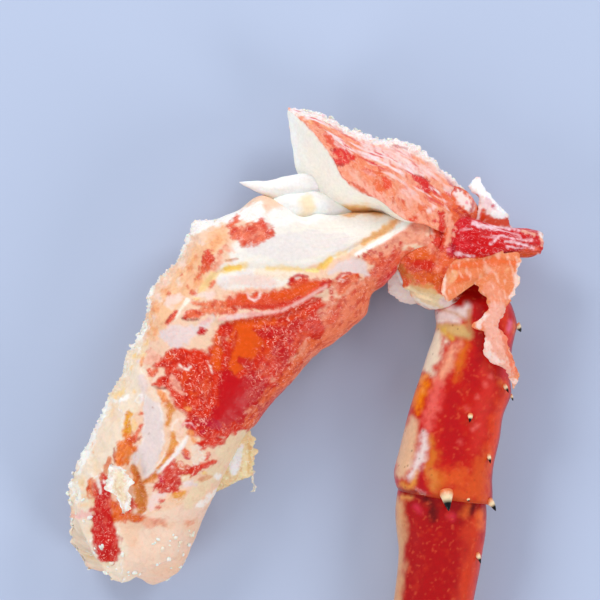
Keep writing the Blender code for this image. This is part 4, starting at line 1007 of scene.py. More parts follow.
# Tan painted shade on the lobe.
LOBE_PAINTED_SHADE = (
    (tint(251, 224, 180), 0.8, 1.2, 4, 0, ((1.5, 119.5, 1.8), (2.5, 116.5, 2), (0.5, 114.3, 1.2))),
)
white_meat = wet_flesh("white muscle", cells=1000, mottle=0.05, bump=0.3, rough=(0.38, 0.28), coat=0.5,
                       scatter=0.4)
for name, rows, node, stains_and_painted_light in (
    ("shard", SHARD, "meat_shard", ()),
    ("lobe", LOBE, "inner_lobe", LOBE_PAINTED_SHADE),
):
    lump, *_ = skin_surface(rows, rings=110, sides=90, ends=(0.5, 0.5))
    threads = layered(drawn_out(lump, (1, 0.05), 6), 2.0, 2, 31)
    lump_tint = paint(lump, tint(254, 249, 244), stains_and_painted_light, 1.5)
    lump_tint = lay_colour(lump_tint, np.clip(threads, 0, 1) * 0.35, tint(246, 226, 206))
    relief = 0.25 * layered(lump, 6, 2, 32) + 0.12 * threads
    lump = lump + outward(lump) * relief[..., None]
    fit(tube_object(name, lump, tint=lump_tint, wet=0.4), white_meat, node)

# ------------------------------------------------------------------ knuckle
# The knee's knuckle: red skin drawn tight over the joint, with a cream membrane below it.
# It joins the thigh, the flap and the first shell.

KNUCKLE = np.array((
    (48.0, 124.0, 54.5, 120.5, 17.0, 3.2, 5.0),
    (43.5, 119.5, 57.0, 115.5, 15.5, 6.8, 8.5),
    (37.5, 112.5, 56.0, 108.5, 14.5, 9.6, 11.0),
    (31.5, 106.0, 55.0, 102.0, 14.0, 11.3, 13.0),
    (27.5, 100.5, 54.0, 96.0, 14.0, 11.5, 13.5),
    (29.6, 96.6, 53.5, 91.5, 13.5, 11.0, 13.2),
    (32.0, 90.8, 55.0, 89.0, 13.0, 10.5, 12.0),
    (36.0, 86.8, 57.0, 86.8, 13.0, 9.8, 10.5),
    (40.5, 84.6, 57.5, 85.0, 13.0, 8.0, 9.0),
))
KNUCKLE_STAINS_SHADE_AND_GLINTS = (
    (SALMON, 0.9, 1.2, 2, 0, ((33, 108.5, 1.2), (36, 108, 2), (39, 106.7, 2.2), (41, 104, 1.6))),
    (tint(251, 226, 214), 0.9, 0.5, 2, 0, ((38.5, 110.7, 0.6), (41, 109.3, 0.6), (42.4, 107, 0.4))),
    (tint(226, 98, 42), 0.9, 1.2, 3, 0, ((33, 102.5, 1), (35.5, 101.5, 1.9), (39, 102.5, 1.6)),
     ((37, 94.7, 1.2), (41, 94, 1.6), (44.3, 94.7, 1.3))),
    (tint(213, 50, 38), 0.95, 1.2, 3, 0, ((34, 99, 0.8), (37, 98.3, 1.9), (40, 98.3, 1.7)),
     ((43.2, 106, 0.9), (44.2, 103.8, 0.7))),
    # pink painted glints on the red
    (tint(245, 142, 112), 0.85, 0.5, 1, 0, ((40.5, 105, 0.7), (42, 103.4, 0.5)), ((43.5, 101.4, 0.5),),
     ((43, 99.5, 0.3), (42.3, 98, 0.3), (43.3, 96.6, 0.3), (44, 97.8, 0.25))),
    # brown-orange painted shade in the crease below the thigh's end
    (tint(204, 122, 60), 0.9, 0.9, 2, 0, ((31, 98, 0.8), (33, 96, 1), (35.5, 93.7, 0.9))),
    (tint(224, 154, 92), 0.85, 0.8, 2, 0, ((37, 91.8, 1), (41, 91.7, 0.9))),
    (tint(234, 208, 168), 1, 0.6, 3, 0,
     ((34, 91, 1.2), (37, 89.3, 2), (41, 88, 2.5), (45, 86.3, 2.2), (49, 85.5, 2))),
    (tint(214, 174, 118), 0.8, 0.8, 2, 0, ((35, 92, 0.6), (38, 90.5, 0.7), (42, 89.8, 0.7))),
    (tint(248, 238, 224), 0.9, 0.4, 2, 0, ((36, 88, 0.6), (39.5, 85.8, 0.6), (43, 84.7, 0.5))),
    (tint(237, 210, 205), 0.9, 0.6, 2, 0, ((45, 86.7, 1.3), (48.5, 85.3, 1.5), (51.5, 86.8, 1.1))),
    (tint(158, 28, 36), 1, 0.6, 2, 0, ((50.5, 90, 1), (53, 91.3, 1.5), (55, 89.5, 1)),
     ((51.5, 87.7, 1.2), (49, 87.2, 0.7))),
)
# Its long folds, with their height and width: a crease down the knee, and a groove and a ridge by the
# membrane.
KNUCKLE_FOLDS = (
    (((44, 119, 0), (44.5, 111, 0), (43.5, 104, 0), (43, 99, 0)), -1.4, 1.3),
    (((33, 90.5, 0), (40, 88.5, 0), (46, 87, 0)), -0.8, 0.8),
    (((31, 93, 0), (37, 88.8, 0), (41, 87.5, 0)), 0.7, 0.5),
)
knuckle, _, _, up = skin_surface(KNUCKLE, rings=170, sides=200)
knuckle_tint = paint(knuckle, tint(232, 104, 62), KNUCKLE_STAINS_SHADE_AND_GLINTS + KNEE_STAINS, 0.8)
knuckle_red = is_reddish(knuckle_tint)
knuckle_tint = marbled(
    knuckle, knuckle_tint, knuckle_red * 0.8, tint(250, 150, 120), tint(200, 40, 40), 1.4, 80)
relief = 0.4 * layered(knuckle, 8, 2, 33) + 0.14 * layered(knuckle, 1.6, 2, 34)
for line, height, width in KNUCKLE_FOLDS:
    relief += height * bump_along(knuckle, line, width) * (up > 0)
knuckle = knuckle + outward(knuckle) * relief[..., None]
knee_skin = wet_flesh("wet red knee skin", cells=1000, mottle=0.06, bump=0.35, rough=(0.4, 0.28), coat=0.25,
                      scatter=0.2)
knuckle_wet = np.clip(0.4 + 0.6 * knuckle_red, 0, 1)
fit(tube_object("knuckle", knuckle, tint=knuckle_tint, wet=knuckle_wet, threads=0.55 * knuckle_red),
    knee_skin, "knee_knuckle")

# ------------------------------------------------------------------ skin roll
# A thick roll of crimson skin that juts out past the knee, torn off square at its tip.
# Its lengthwise wrinkles are wet, with pale pink glints painted along them. It is grown to the knuckle.

ROLL = np.array((
    (45.5, 113.5, 45.0, 100.5, 16.0, 5.0, 5.0),
    (49.0, 114.5, 48.0, 99.4, 18.8, 6.6, 6.3),
    (54.0, 113.5, 54.0, 98.9, 20.0, 7.8, 7.8),
    (60.0, 111.5, 61.5, 99.6, 19.5, 8.0, 8.0),
    (67.0, 110.2, 68.0, 100.8, 19.0, 6.5, 6.5),
    (73.0, 109.6, 73.5, 101.3, 18.5, 5.0, 5.0),
    (77.2, 108.7, 76.7, 102.0, 18.5, 3.6, 3.6),
))
ROLL_STAINS_AND_GLINTS = (
    (ORANGE, 0.9, 0.8, 2, 0,
     ((46.5, 98.8, 1.4), (52, 99.3, 1.1), (58, 99.8, 1), (66, 100.8, 1), (74, 102.8, 1.4))),
    (tint(190, 32, 54), 0.8, 0.4, 2, 0, ((46.8, 102, 1.1), (48, 104, 0.9))),
    (tint(241, 86, 54), 0.9, 0.6, 3, 0, ((72, 103.2, 1.1), (75, 103.6, 0.9))),
    (tint(250, 196, 168), 0.85, 0.5, 1.5, 0, ((76.8, 108, 1.1), (76.6, 105, 0.5)),
     ((70, 109.2, 0.4), (74, 108.2, 0.5))),
    (NEAR_WHITE, 0.9, 0.4, 1.2, 0, ((75.8, 108.5, 0.6), (77.2, 107.5, 0.5)), ((75.5, 101.9, 0.35),)),
    # pale pink painted glints along the wrinkles
    (tint(253, 214, 220), 0.95, 0.5, 1.2, 0,
     ((54.5, 111.8, 0.5), (57, 110.9, 0.6), (60, 110.6, 0.8), (64, 110.7, 0.5), (69, 109.5, 0.35)),
     ((60, 105, 0.15), (61.5, 106.5, 0.3), (63, 108, 0.25), (66, 107.2, 0.25), (69, 106.6, 0.35),
      (73, 106.3, 0.25)), ((64.5, 106, 0.2), (67.5, 105.7, 0.45), (70.5, 105, 0.35), (73.5, 104, 0.25)),
     ((65, 104.6, 0.15), (69, 103.8, 0.25), (73, 103.9, 0.15)),
     ((49, 102.5, 0.35), (51, 101.9, 0.4), (54.5, 101.1, 0.2))),
)
roll, along, across, _ = skin_surface(ROLL, rings=150, sides=170, torn=0.05, ends=(0.6, 0.3))
wrinkled = drawn_out(roll, (1, -0.12), 5)
roll_tint = paint(roll, tint(212, 36, 40), KNEE_STAINS + ROLL_STAINS_AND_GLINTS)
glints = np.clip(layered(wrinkled, 1.5, 3, 41) * 3 - 0.9, 0, 1)
glints = glints * np.clip(1.1 - across * 1.7, 0, 1) * np.clip(along * 3, 0, 1)
roll_tint = lay_colour(roll_tint, glints * 0.85, tint(253, 206, 212))
roll_tint = lay_colour(roll_tint, np.clip(layered(wrinkled, 1.2, 2, 42) * 2 - 0.6, 0, 1) * 0.5, tint(190, 28, 40))
relief = 0.35 * layered(roll, 7, 2, 43) + 0.4 * layered(wrinkled, 1.7, 3, 41)
roll = roll + outward(roll) * relief[..., None]
roll_skin = wet_flesh("wet crimson skin", cells=1000, mottle=0.05, bump=0.35, rough=(0.4, 0.22), coat=0.4,
                      scatter=0.15, thread=(253, 214, 218))
fit(tube_object("roll", roll, tint=roll_tint, wet=0.6 + 0.4 * glints, threads=0.35), roll_skin,
    "skin_roll")

# ------------------------------------------------------------------ hanging skin
# A thin sheet of skin hangs from the roll over the first shell. It is see-through orange above and pale
# below. Its edges are torn, with a notch cut in from the left.

SKIN = np.array((
    (45.2, 95.6, 46.6, 99.6, 23.6, 0.7, 0.7),
    (44.6, 91.8, 52.0, 101.2, 24.8, 0.9, 0.9),
    (45.0, 87.6, 60.0, 102.4, 25.6, 0.9, 0.9),
    (47.6, 87.4, 67.0, 102.6, 26.0, 0.9, 0.9),
    (50.6, 90.4, 69.4, 101.0, 26.4, 0.9, 0.9),
    (53.2, 93.0, 69.6, 99.4, 26.8, 0.8, 0.8),
    (55.0, 92.4, 68.6, 97.0, 27.1, 0.8, 0.8),
    (56.6, 90.6, 69.2, 93.2, 27.4, 0.8, 0.8),
    (57.4, 88.6, 68.0, 90.4, 27.7, 0.8, 0.8),
    (59.4, 85.8, 65.9, 87.2, 28.0, 0.8, 0.8),
    (58.4, 83.4, 63.6, 83.6, 28.2, 0.8, 0.8),
    (55.2, 80.6, 62.6, 80.8, 28.3, 0.8, 0.8),
    (54.2, 78.6, 62.8, 78.8, 28.4, 0.8, 0.8),
    (57.2, 77.2, 63.8, 77.2, 28.4, 0.8, 0.8),
    (58.6, 74.6, 65.0, 74.6, 28.4, 0.8, 0.8),
    (57.8, 71.0, 66.4, 70.7, 28.2, 0.8, 0.8),
    (59.9, 67.5, 67.3, 67.5, 27.8, 0.7, 0.7),
    (63.6, 66.0, 68.0, 65.5, 27.4, 0.7, 0.7),
    (65.7, 62.9, 69.2, 62.7, 26.8, 0.6, 0.6),
    (66.9, 59.6, 67.5, 59.4, 26.0, 0.4, 0.4),
))
SKIN_STAINS = (
    (tint(240, 112, 60), 0.85, 0.8, 3, 0, ((47, 98, 0.8), (55, 99, 1), (62, 99.8, 1), (67.5, 99.3, 0.9)),
     ((49, 94, 0.9), (52.5, 94.4, 0.9))),
    (tint(243, 178, 132), 0.9, 0.8, 3, 0, ((46.5, 93.5, 1.1), (48.5, 96, 1)), ((57, 94.8, 0.6),),
     ((65, 97, 0.8),)),
    (tint(251, 222, 204), 0.9, 0.3, 2, 0, ((45.5, 95.5, 0.35), (45, 89.5, 0.35), (46, 87.3, 0.3))),
    (tint(244, 160, 128), 0.9, 1, 3, 0, ((60, 91, 2.4), (62.5, 88, 2))),
    (tint(244, 180, 160), 0.95, 1, 3, 0,
     ((62, 84.5, 2.6), (60.5, 80, 3.2), (61.5, 75, 3.6), (62.5, 70.5, 3.2), (66, 64.5, 2))),
    (tint(250, 226, 216), 0.85, 0.8, 2, 0,
     ((68.8, 98.5, 1), (68.5, 94, 1.2), (67.7, 90.5, 1), (66, 88.5, 0.8)), ((58, 82.5, 0.9), (56, 79.4, 0.9)),
     ((58, 75, 0.9), (59, 71, 1.3), (60.5, 68.4, 1.1), (64, 67.8, 0.7)),
     ((66.5, 61.7, 0.8), (68, 61.2, 0.9))),
    (tint(240, 122, 84), 0.8, 0.7, 1.5, 0,
     ((63.5, 78, 0.7), (65, 73.5, 0.9), (66, 69, 0.8), (67.6, 64.2, 0.6))),
)
sheet, _, across, _ = skin_surface(SKIN, rings=240, sides=120, top_share=0.55, ends=(0.3, 0.3))
sheet_tint = paint(sheet, tint(238, 140, 94), SKIN_STAINS)
veins = np.clip(layered(drawn_out(sheet, (0.3, -1), 3), 1.2, 2, 44) * 2.4 - 0.5, 0, 1)
sheet_tint = lay_colour(sheet_tint, veins * 0.5, tint(250, 206, 186))
sheet_tint = lay_colour(sheet_tint, np.clip(layered(sheet, 1.3, 2, 45) * 2 - 0.7, 0, 1) * 0.4, tint(238, 122, 80))
sheet = frayed(sheet, across, reach=0.9, cell=2.4, seed=46, first=0.15, last=0.15)
relief = 0.12 * layered(sheet, 1.4, 2, 44)
sheet = sheet + outward(sheet) * relief[..., None]
sheet[..., 2] += 0.7 * grain(sheet[..., :2] @ np.eye(2, 3), 6.0, 47)
thin_skin = wet_flesh("thin hanging skin", cells=1000, mottle=0.05, bump=0.35, rough=(0.42, 0.28), coat=0.3,
                      scatter=0.35, thread=(252, 206, 184))
fit(tube_object("hanging_sheet", sheet, tint=sheet_tint, wet=0.6, threads=0.22), thin_skin,
    "hanging_skin")

# ------------------------------------------------------------------ joint flake and joint chip
# Two scraps of the thin white sheath round the joint: a pointed flake behind the roll, and a curled chip
# below the knee. Both are torn at their edges, and grown to the knee.

FLAKE = np.array((
    (53.6, 109.5, 68.2, 109.0, 17.0, 2.6, 2.6),
    (54.4, 112.5, 66.6, 112.0, 17.5, 2.8, 2.6),
    (55.6, 115.5, 65.2, 115.2, 18.0, 2.6, 2.4),
    (56.6, 118.5, 62.8, 118.0, 18.3, 2.0, 2.0),
    (56.0, 120.8, 60.6, 120.4, 18.5, 1.7, 1.7),
    (53.6, 122.9, 58.9, 122.6, 18.4, 1.4, 1.4),
    (53.6, 124.6, 57.6, 124.9, 18.2, 1.0, 1.0),
    (55.3, 126.4, 56.9, 126.5, 18.0, 0.5, 0.5),
))
CHIP = np.array((
    (28.0, 98.5, 31.5, 97.8, 18.5, 0.8, 0.8),
    (27.2, 94.0, 33.0, 94.5, 18.5, 1.0, 1.0),
    (28.0, 90.0, 35.5, 91.0, 18.0, 1.0, 1.0),
    (31.0, 87.2, 38.5, 88.6, 17.0, 1.0, 1.0),
    (34.0, 86.0, 38.0, 86.8, 16.0, 0.7, 0.7),
))
FLAKE_STAINS = (
    (tint(255, 253, 252), 0.9, 0.6, 2, 0, ((55.5, 124.5, 2), (60, 120.5, 1.6), (64.5, 116, 1))),
    (tint(240, 204, 206), 0.9, 0.6, 1.5, 0, ((59.2, 118.8, 1.1), (61, 117.4, 1))),
    (tint(222, 74, 42), 0.95, 0.5, 1.5, 0, ((58, 113.2, 1.3), (62, 112.2, 1.3), (66.2, 112, 1.2))),
    (tint(222, 74, 42), 0.95, 0.4, 1.5, 0, ((57.9, 114, 0.9), (58, 116, 0.5))),
    (tint(255, 248, 244), 0.95, 0.5, 1.5, 0, ((61.5, 115, 1.2), (64, 114.4, 1))),
    (tint(214, 46, 46), 0.9, 0.3, 1.5, 0, ((54.6, 118, 0.7), (54.4, 114, 0.8))),
    (tint(206, 50, 70), 0.9, 0.2, 1.5, 0, ((61, 117.4, 0.35),)),
)
CHIP_STAINS = (
    (tint(250, 246, 240), 0.9, 0.3, 1.5, 0, ((29.5, 98.5, 0.5), (32, 93.5, 0.5), (36.5, 88, 0.4))),
)
sheath = wet_flesh("white joint sheath", cells=1000, mottle=0.05, bump=0.3, rough=(0.42, 0.3), coat=0.4,
                   scatter=0.35)
for name, rows, node, base, stains_and_painted_light in (
    ("flake", FLAKE, "joint_flake", tint(248, 224, 220), FLAKE_STAINS),
    ("chip", CHIP, "joint_chip", tint(224, 204, 196), CHIP_STAINS),
):
    scrap, _, across, _ = skin_surface(rows, rings=110, sides=100, ends=(0.3, 0.3))
    scrap_tint = paint(scrap, base, stains_and_painted_light)
    rosy = np.clip(layered(scrap, 1.5, 2, 48) * 2 - 0.8, 0, 1)
    scrap_tint = lay_colour(scrap_tint, rosy * 0.4, tint(240, 196, 180))
    scrap = frayed(scrap, across, reach=0.7, cell=2.0, seed=49, first=0.15, last=0.15)
    scrap = scrap + outward(scrap) * (0.15 * layered(scrap, 2.0, 2, 51))[..., None]
    fit(tube_object(name, scrap, tint=scrap_tint, wet=0.4), sheath, node)

# ------------------------------------------------------------------ first shell
# The carpus is in its shell: hard, smooth and red above, cream along the inner side and below.
# It is boiled with its meat inside, and carries spines that are part of the shell.

CARPUS = np.array((
    (46.0, 91.5, 60.0, 92.5, 12.5, 7.0, 8.5),
    (43.0, 88.0, 64.5, 89.0, 13.0, 9.5, 9.8),
    (42.6, 83.5, 67.2, 86.0, 13.2, 11.3, 12.0),
    (43.0, 79.3, 69.0, 80.0, 13.5, 11.9, 13.0),
    (42.0, 75.0, 68.3, 75.5, 13.5, 12.4, 13.5),
    (40.7, 71.0, 67.4, 71.5, 13.5, 12.8, 13.8),
    (38.2, 63.5, 66.8, 63.5, 13.5, 12.8, 13.9),
    (35.6, 56.0, 67.0, 57.0, 13.5, 12.8, 13.9),
    (34.0, 50.5, 64.5, 50.5, 13.5, 12.8, 13.9),
    (32.5, 44.0, 63.5, 43.5, 13.5, 13.0, 13.9),
    (31.0, 38.0, 62.0, 36.0, 13.5, 13.2, 13.9),
    (29.5, 32.5, 61.0, 30.0, 13.8, 13.6, 14.2),
    (30.0, 28.5, 61.0, 25.0, 13.8, 13.8, 14.2),
    (31.0, 26.5, 61.0, 22.0, 13.8, 13.4, 13.8),
))
# Each spine: its share along the shell, its angle in degrees round from the first edge over the top, its
# length and its radius.
CARPUS_SPINES = np.array((
    (0.255, 178, 2.2, 1.3), (0.505, 148, 2.4, 0.85), (0.54, 178, 1.8, 0.6), (0.61, 107, 2.4, 0.9),
    (0.745, 146, 2.4, 0.8), (0.93, 91, 5.2, 2.2), (0.955, 160, 3.4, 1.3), (0.95, 118, 0.8, 0.6),
    (0.93, 235, 3.4, 1.1), (0.60, 240, 2.4, 0.8),
))
CARPUS_STAINS_SHADE_AND_GLINTS = (
    (tint(186, 34, 42), 0.8, 1.5, 4, 0, ((56.5, 86.5, 1.8), (56, 77, 1.5), (56.3, 70, 2), (54, 62, 3)),
     ((48, 57, 2.5), (47.5, 50, 3), (48, 43, 4), (48.5, 38, 3))),
    (tint(217, 62, 54), 0.8, 1.5, 4, 0,
     ((58.5, 65, 1.8), (60.5, 61, 2.5), (58.5, 56, 2.5), (57, 51, 2.5), (56.5, 46, 2.5), (55.5, 41, 2))),
    (tint(230, 78, 44), 0.95, 1.6, 3, 0,
     ((65.5, 60, 1), (64.3, 55, 1.8), (62.5, 49, 2.2), (61, 42, 2), (60, 35, 2))),
    (tint(222, 90, 48), 0.95, 1.8, 3, 0, ((58.5, 38, 1.6), (57, 33, 3.5), (56, 27, 4), (58.5, 23, 2)),
     ((50, 31, 3.5), (45, 30, 3)), ((52, 25, 3), (47, 25.5, 2.5))),
    (tint(217, 118, 50), 0.9, 1.4, 3, 0,
     ((41, 43, 0.9), (41.5, 38.5, 1.6), (41, 34, 1.8), (42.5, 30, 2.2), (42, 27, 1.5))),
    (tint(227, 152, 88), 0.4, 1.2, 2, 0, ((41, 33, 1), (41.5, 28.5, 1.2))),
    # pink painted glints
    (tint(239, 114, 104), 0.7, 0.6, 1.5, 0, ((60, 63, 0.6),), ((58.3, 60.5, 0.5),), ((55.8, 56.5, 0.45),),
     ((54.5, 46.5, 0.6), (55.8, 47.5, 0.4)), ((50.3, 42.3, 0.3),), ((52.5, 53, 0.4),)),
    (tint(222, 110, 44), 0.9, 1, 3, 0, ((52.5, 74, 0.7), (51, 70, 1.3), (49.8, 66, 1.3), (49, 62.5, 0.9))),
    (tint(246, 168, 134), 0.95, 1, 3, 0,
     ((50, 73.5, 0.6), (48, 71, 1.1), (46.3, 67.5, 1.5), (45, 64.5, 1.5), (43.8, 61.8, 1.2))),
    (tint(237, 220, 195), 1, 0.8, 3, 0,
     ((43.5, 76.5, 1.4), (42.8, 73, 2.3), (41.5, 69.5, 2.5), (40.3, 66.3, 1.8), (41.5, 64, 0.9)),
     ((45.7, 74.3, 1),)),
    (tint(214, 172, 112), 1, 0.5, 3, 0,
     ((43.5, 79, 1), (46.5, 78.2, 1.9), (50.5, 77.5, 2.2), (53, 76.5, 1.3))),
    (tint(222, 180, 76), 0.85, 0.5, 2, 0, ((45, 77.6, 0.6), (46.5, 76.2, 0.6), (48, 75, 0.3))),
    (tint(231, 204, 198), 1, 0.5, 3, 0, ((44, 82.5, 1.6), (48, 83, 2.3), (51.5, 83.5, 2), (52.5, 85.5, 1.2))),
    # brown painted shade along the neck's fold lines and down its right side
    (tint(201, 142, 94), 0.85, 0.3, 2, 0, ((45, 84.2, 0.2), (48.5, 83.3, 0.25), (52, 81, 0.3)),
     ((53.1, 84, 0.5), (53, 81, 0.5), (53.5, 77.7, 0.5))),
    (tint(243, 228, 216), 0.9, 0.4, 2, 0, ((43, 80.7, 0.5), (47, 81, 0.5), (50, 80.4, 0.4))),
    (tint(244, 136, 40), 0.95, 0.8, 2, 0,
     ((38.5, 61, 1.6), (39.8, 60, 1.3), (37.5, 57.5, 1.9), (36.8, 54, 1.6), (36.5, 51.8, 0.8))),
    (tint(249, 168, 90), 0.8, 0.6, 2, 0, ((39.6, 63.2, 0.8), (38, 62, 0.5)), ((39, 58.5, 0.6),)),
    (tint(236, 104, 94), 0.95, 0.9, 2, 0,
     ((43.5, 61.5, 1), (42.8, 57.5, 1.8), (41.5, 53, 2.2), (39.8, 49.5, 1.6), (40.5, 47, 0.9))),
    (tint(222, 56, 56), 0.75, 0.6, 1.5, 0, ((44.6, 58.5, 0.6), (43.8, 54.5, 0.6)), ((39.8, 55.5, 0.35),),
     ((38.9, 49, 0.4),), ((42.3, 48, 0.4),)),
    (tint(229, 186, 150), 1, 0.5, 3, 0,
     ((35.5, 49, 1.2), (34.5, 45, 2.3), (33.5, 40, 2.8), (32.5, 35.5, 2.5), (31.5, 32, 1.6))),
    (tint(237, 218, 212), 0.95, 0.7, 2, 0,
     ((38.8, 44.8, 0.8), (39, 41.5, 1.2), (38, 38, 1.6), (36.3, 34, 1.5), (34.3, 31, 0.9))),
    (tint(235, 162, 76), 0.9, 0.5, 2, 0, ((32, 28.4, 0.9), (34.5, 28, 1), (36, 30.3, 0.6), (36.8, 33, 0.4))),
    (tint(184, 32, 44), 0.95, 0.5, 2, 0,
     ((38, 34.5, 0.5), (37.8, 31.5, 0.8), (38, 28, 1), (39.5, 25.5, 0.9))),
    (tint(232, 70, 48), 0.95, 0.6, 3, 0, ((65.5, 86, 0.8), (64, 82, 1.2), (65.5, 79, 1.3), (66, 75, 0.9))),
    (tint(240, 112, 52), 0.85, 0.5, 2, 0, ((68, 79.5, 0.8), (68, 77, 0.6)), ((63.3, 61, 0.8),),
     ((60, 38.7, 0.5),)),
    (tint(238, 124, 158), 0.8, 0.4, 2, 0, ((66.5, 80, 0.7), (66, 78, 0.6))),
    (tint(58, 22, 18), 0.95, 0.3, 1.5, 0, ((31, 26.8, 0.3), (33.5, 26, 0.4), (36.5, 26.4, 0.4),
      (38.2, 25.4, 0.4), (40.5, 23.6, 0.35), (43.5, 22.2, 0.3))),
)


def boiled_shell(rows, rings, sides, base, stains_and_painted_light, seed):
    """A shell's points and colours: the red and orange top, blotched and speckled, fades to cream underneath,
    and tiny dark pores lie along the pale side. Its skin has a low broad swell and a fine pebbled grain."""
    shell, along, across, up = skin_surface(rows, rings, sides, top_share=0.62)
    colour = paint(shell, base, stains_and_painted_light, 1.7, 0.0)
    redness = is_reddish(colour)
    blots = np.clip(layered(shell, 3.0, 3, seed) * 2 - 0.5, 0, 1)
    colour = lay_colour(colour, blots * redness * 0.45, tint(204, 60, 44))
    pale = np.clip(layered(shell, 1.6, 2, seed + 1) * 2.4 - 0.9, 0, 1)
    colour = lay_colour(colour, pale * redness * 0.4, tint(232, 104, 70))
    under = np.clip(-up * 1.6 - 0.25 + 0.5 * layered(shell, 7, 3, seed + 2), 0, 1)
    colour = lay_colour(colour, under, tint(232, 196, 158))
    pores = np.clip(1.6 - lumps(shell, 2.6, seed + 3)[0] * 9, 0, 1) * (1 - 0.7 * redness)
    colour = lay_colour(colour, pores * 0.7, tint(120, 70, 40))
    relief = 0.2 * layered(shell, 14, 2, seed + 4) + 0.02 * layered(shell, 1.3, 2, seed + 5) - 0.1 * pores
    return shell + outward(shell) * relief[..., None], colour, along, across, up


def spines_on(shell, places, top_share=0.62, lean=0.9):
    """Curved cones leaning along a shell, each from t = -0.25 under the skin to 1 at its tip. Its middle is
    base + length (0.6 t n + lean (t + t |t|) / 2 a), with n the shell's normal and a the direction along it.
    Its radius is R (1 - t)^0.6, which leaves a blunt tip."""
    rings, sides = shell.shape[:2]
    share, angle, length, radius = places.T
    ring = (share * (rings - 1)).astype(int)
    half = angle / 180
    side = np.where(half < 1, half * top_share, top_share + (half - 1) * (1 - top_share)) * sides
    side = side.astype(int)
    base = shell[ring, side]
    normal = outward(shell)[ring, side]
    ahead = shell[np.minimum(ring + 6, rings - 1), side] - shell[ring - 6, side]
    ahead /= np.linalg.norm(ahead, axis=-1, keepdims=True)
    t = np.linspace(-0.25, 1, 16)[None, :, None, None]
    turn = np.linspace(0, 2 * np.pi, 18, endpoint=False)[None, None, :, None]
    wide = radius[:, None, None, None] * np.clip(1 - t, 0.01, 1) ** 0.6
    n, a = normal[:, None, None], ahead[:, None, None]
    rise = 0.6 * t * n + lean * (t + t * np.abs(t)) / 2 * a
    middle = base[:, None, None] + length[:, None, None, None] * rise
    axis = 0.6 * n + lean * (0.5 + np.abs(t)) * a
    axis = axis / np.linalg.norm(axis, axis=-1, keepdims=True)
    first = np.cross(axis, a)
    first /= np.linalg.norm(first, axis=-1, keepdims=True)
    second = np.cross(axis, first)
    points = middle + wide * (first * np.cos(turn) + second * np.sin(turn))
    tip = np.broadcast_to(t[..., 0], points.shape[:-1])
    colour = lay_colour(tint(232, 130, 80), np.clip(tip * 3, 0, 1), tint(246, 222, 180))
    return points, lay_colour(colour, np.clip(tip * 5 - 2.3, 0, 1), tint(30, 20, 18))


carpus, carpus_tint, along, across, up = boiled_shell(CARPUS, 260, 230, tint(200, 44, 40), CARPUS_STAINS_SHADE_AND_GLINTS, 90)
right_edge = np.clip((across - 0.965) * 30, 0, 1) * (up > -0.4)
carpus_tint = lay_colour(carpus_tint, right_edge * 0.7, tint(150, 20, 50))
far_rim = np.clip((along - 0.955) * 40, 0, 1)
carpus_tint = lay_colour(carpus_tint, far_rim * 0.5, tint(170, 70, 40))
boiled = wet_flesh("boiled shell", cells=700, mottle=0.06, bump=0.1, rough=(0.4, 0.28), coat=0.35,
                   scatter=0.12, thread=(232, 110, 92))
fit(tube_object("first_shell", carpus, tint=carpus_tint, wet=0.75, threads=0), boiled,
    "carpus_shell")
spines, spine_tint = spines_on(carpus, CARPUS_SPINES)
fit(tube_object("first_shell_spines", spines, tint=spine_tint, wet=0.6), boiled, "carpus_shell")

# ------------------------------------------------------------------ second shell
# The propodus is the long shell below, red with a cream side, and jointed into the first one.
# Its meat is inside, and its spines are part of the shell.

PROPODUS = np.array((
    (32.0, 30.5, 58.5, 27.0, 12.4, 11.0, 11.4),
    (30.5, 25.0, 59.3, 21.0, 12.5, 11.6, 12.4),
    (30.0, 17.5, 59.0, 12.5, 12.5, 11.8, 12.9),
    (31.0, 5.0, 57.0, 0.5, 12.2, 11.6, 12.6),
    (29.0, -13.0, 53.5, -17.5, 11.8, 11.2, 12.2),
    (25.0, -31.0, 48.5, -37.0, 11.2, 10.6, 11.6),
    (20.0, -49.0, 42.0, -56.0, 10.6, 10.0, 11.0),
    (15.0, -65.5, 35.0, -73.5, 9.8, 9.4, 10.2),
    (10.0, -78.0, 29.0, -86.5, 9.4, 9.2, 9.8),
    (8.0, -82.5, 27.0, -91.5, 9.4, 8.8, 9.6),
))
PROPODUS_SPINES = np.array((
    (0.30, 150, 2.8, 0.9), (0.46, 176, 2.8, 0.9), (0.42, 100, 2.6, 0.9), (0.62, 140, 2.6, 0.9),
    (0.78, 172, 2.6, 0.9), (0.95, 95, 3.4, 1.1), (0.95, 165, 3.6, 1.1), (0.55, 205, 2.8, 0.9),
    (0.52, 20, 2.4, 0.8), (0.90, 25, 2.8, 0.9),
))
PROPODUS_STAINS = (
    (tint(217, 70, 46), 0.95, 2, 6, 0,
     ((55, 16, 3), (54, 0, 3.5), (49, -22, 3.5), (42, -46, 3.5), (32, -74, 3))),
    (tint(220, 166, 120), 1, 1.2, 5, 0,
     ((31, 22, 1.4), (31, 16, 1.8), (30, 0, 2.4), (26, -24, 2.2), (20, -48, 2.2), (13, -70, 2))),
    (tint(240, 112, 56), 0.9, 0.8, 3, 0, ((53, 21.5, 1), (51.5, 19, 1)), ((57, 19, 1.2), (57, 15, 1))),
    (tint(224, 64, 84), 0.8, 0.6, 2, 0, ((36.3, 21.5, 0.8), (38, 19.8, 0.5)), ((47.5, 18.5, 1.2),)),
    (tint(112, 22, 26), 0.9, 0.6, 2, 0, ((39.5, 24.3, 0.9), (41.5, 21.5, 1.3), (42, 18, 1.3)),
     ((55, 22.5, 0.7), (53.7, 19, 0.4))),
    (tint(236, 172, 100), 0.85, 0.5, 2, 0, ((32, 24.3, 0.6), (35, 24.5, 0.4))),
    (tint(217, 120, 60), 0.8, 1.4, 4, 0, ((16, -76, 3), (24, -83, 4))),
)
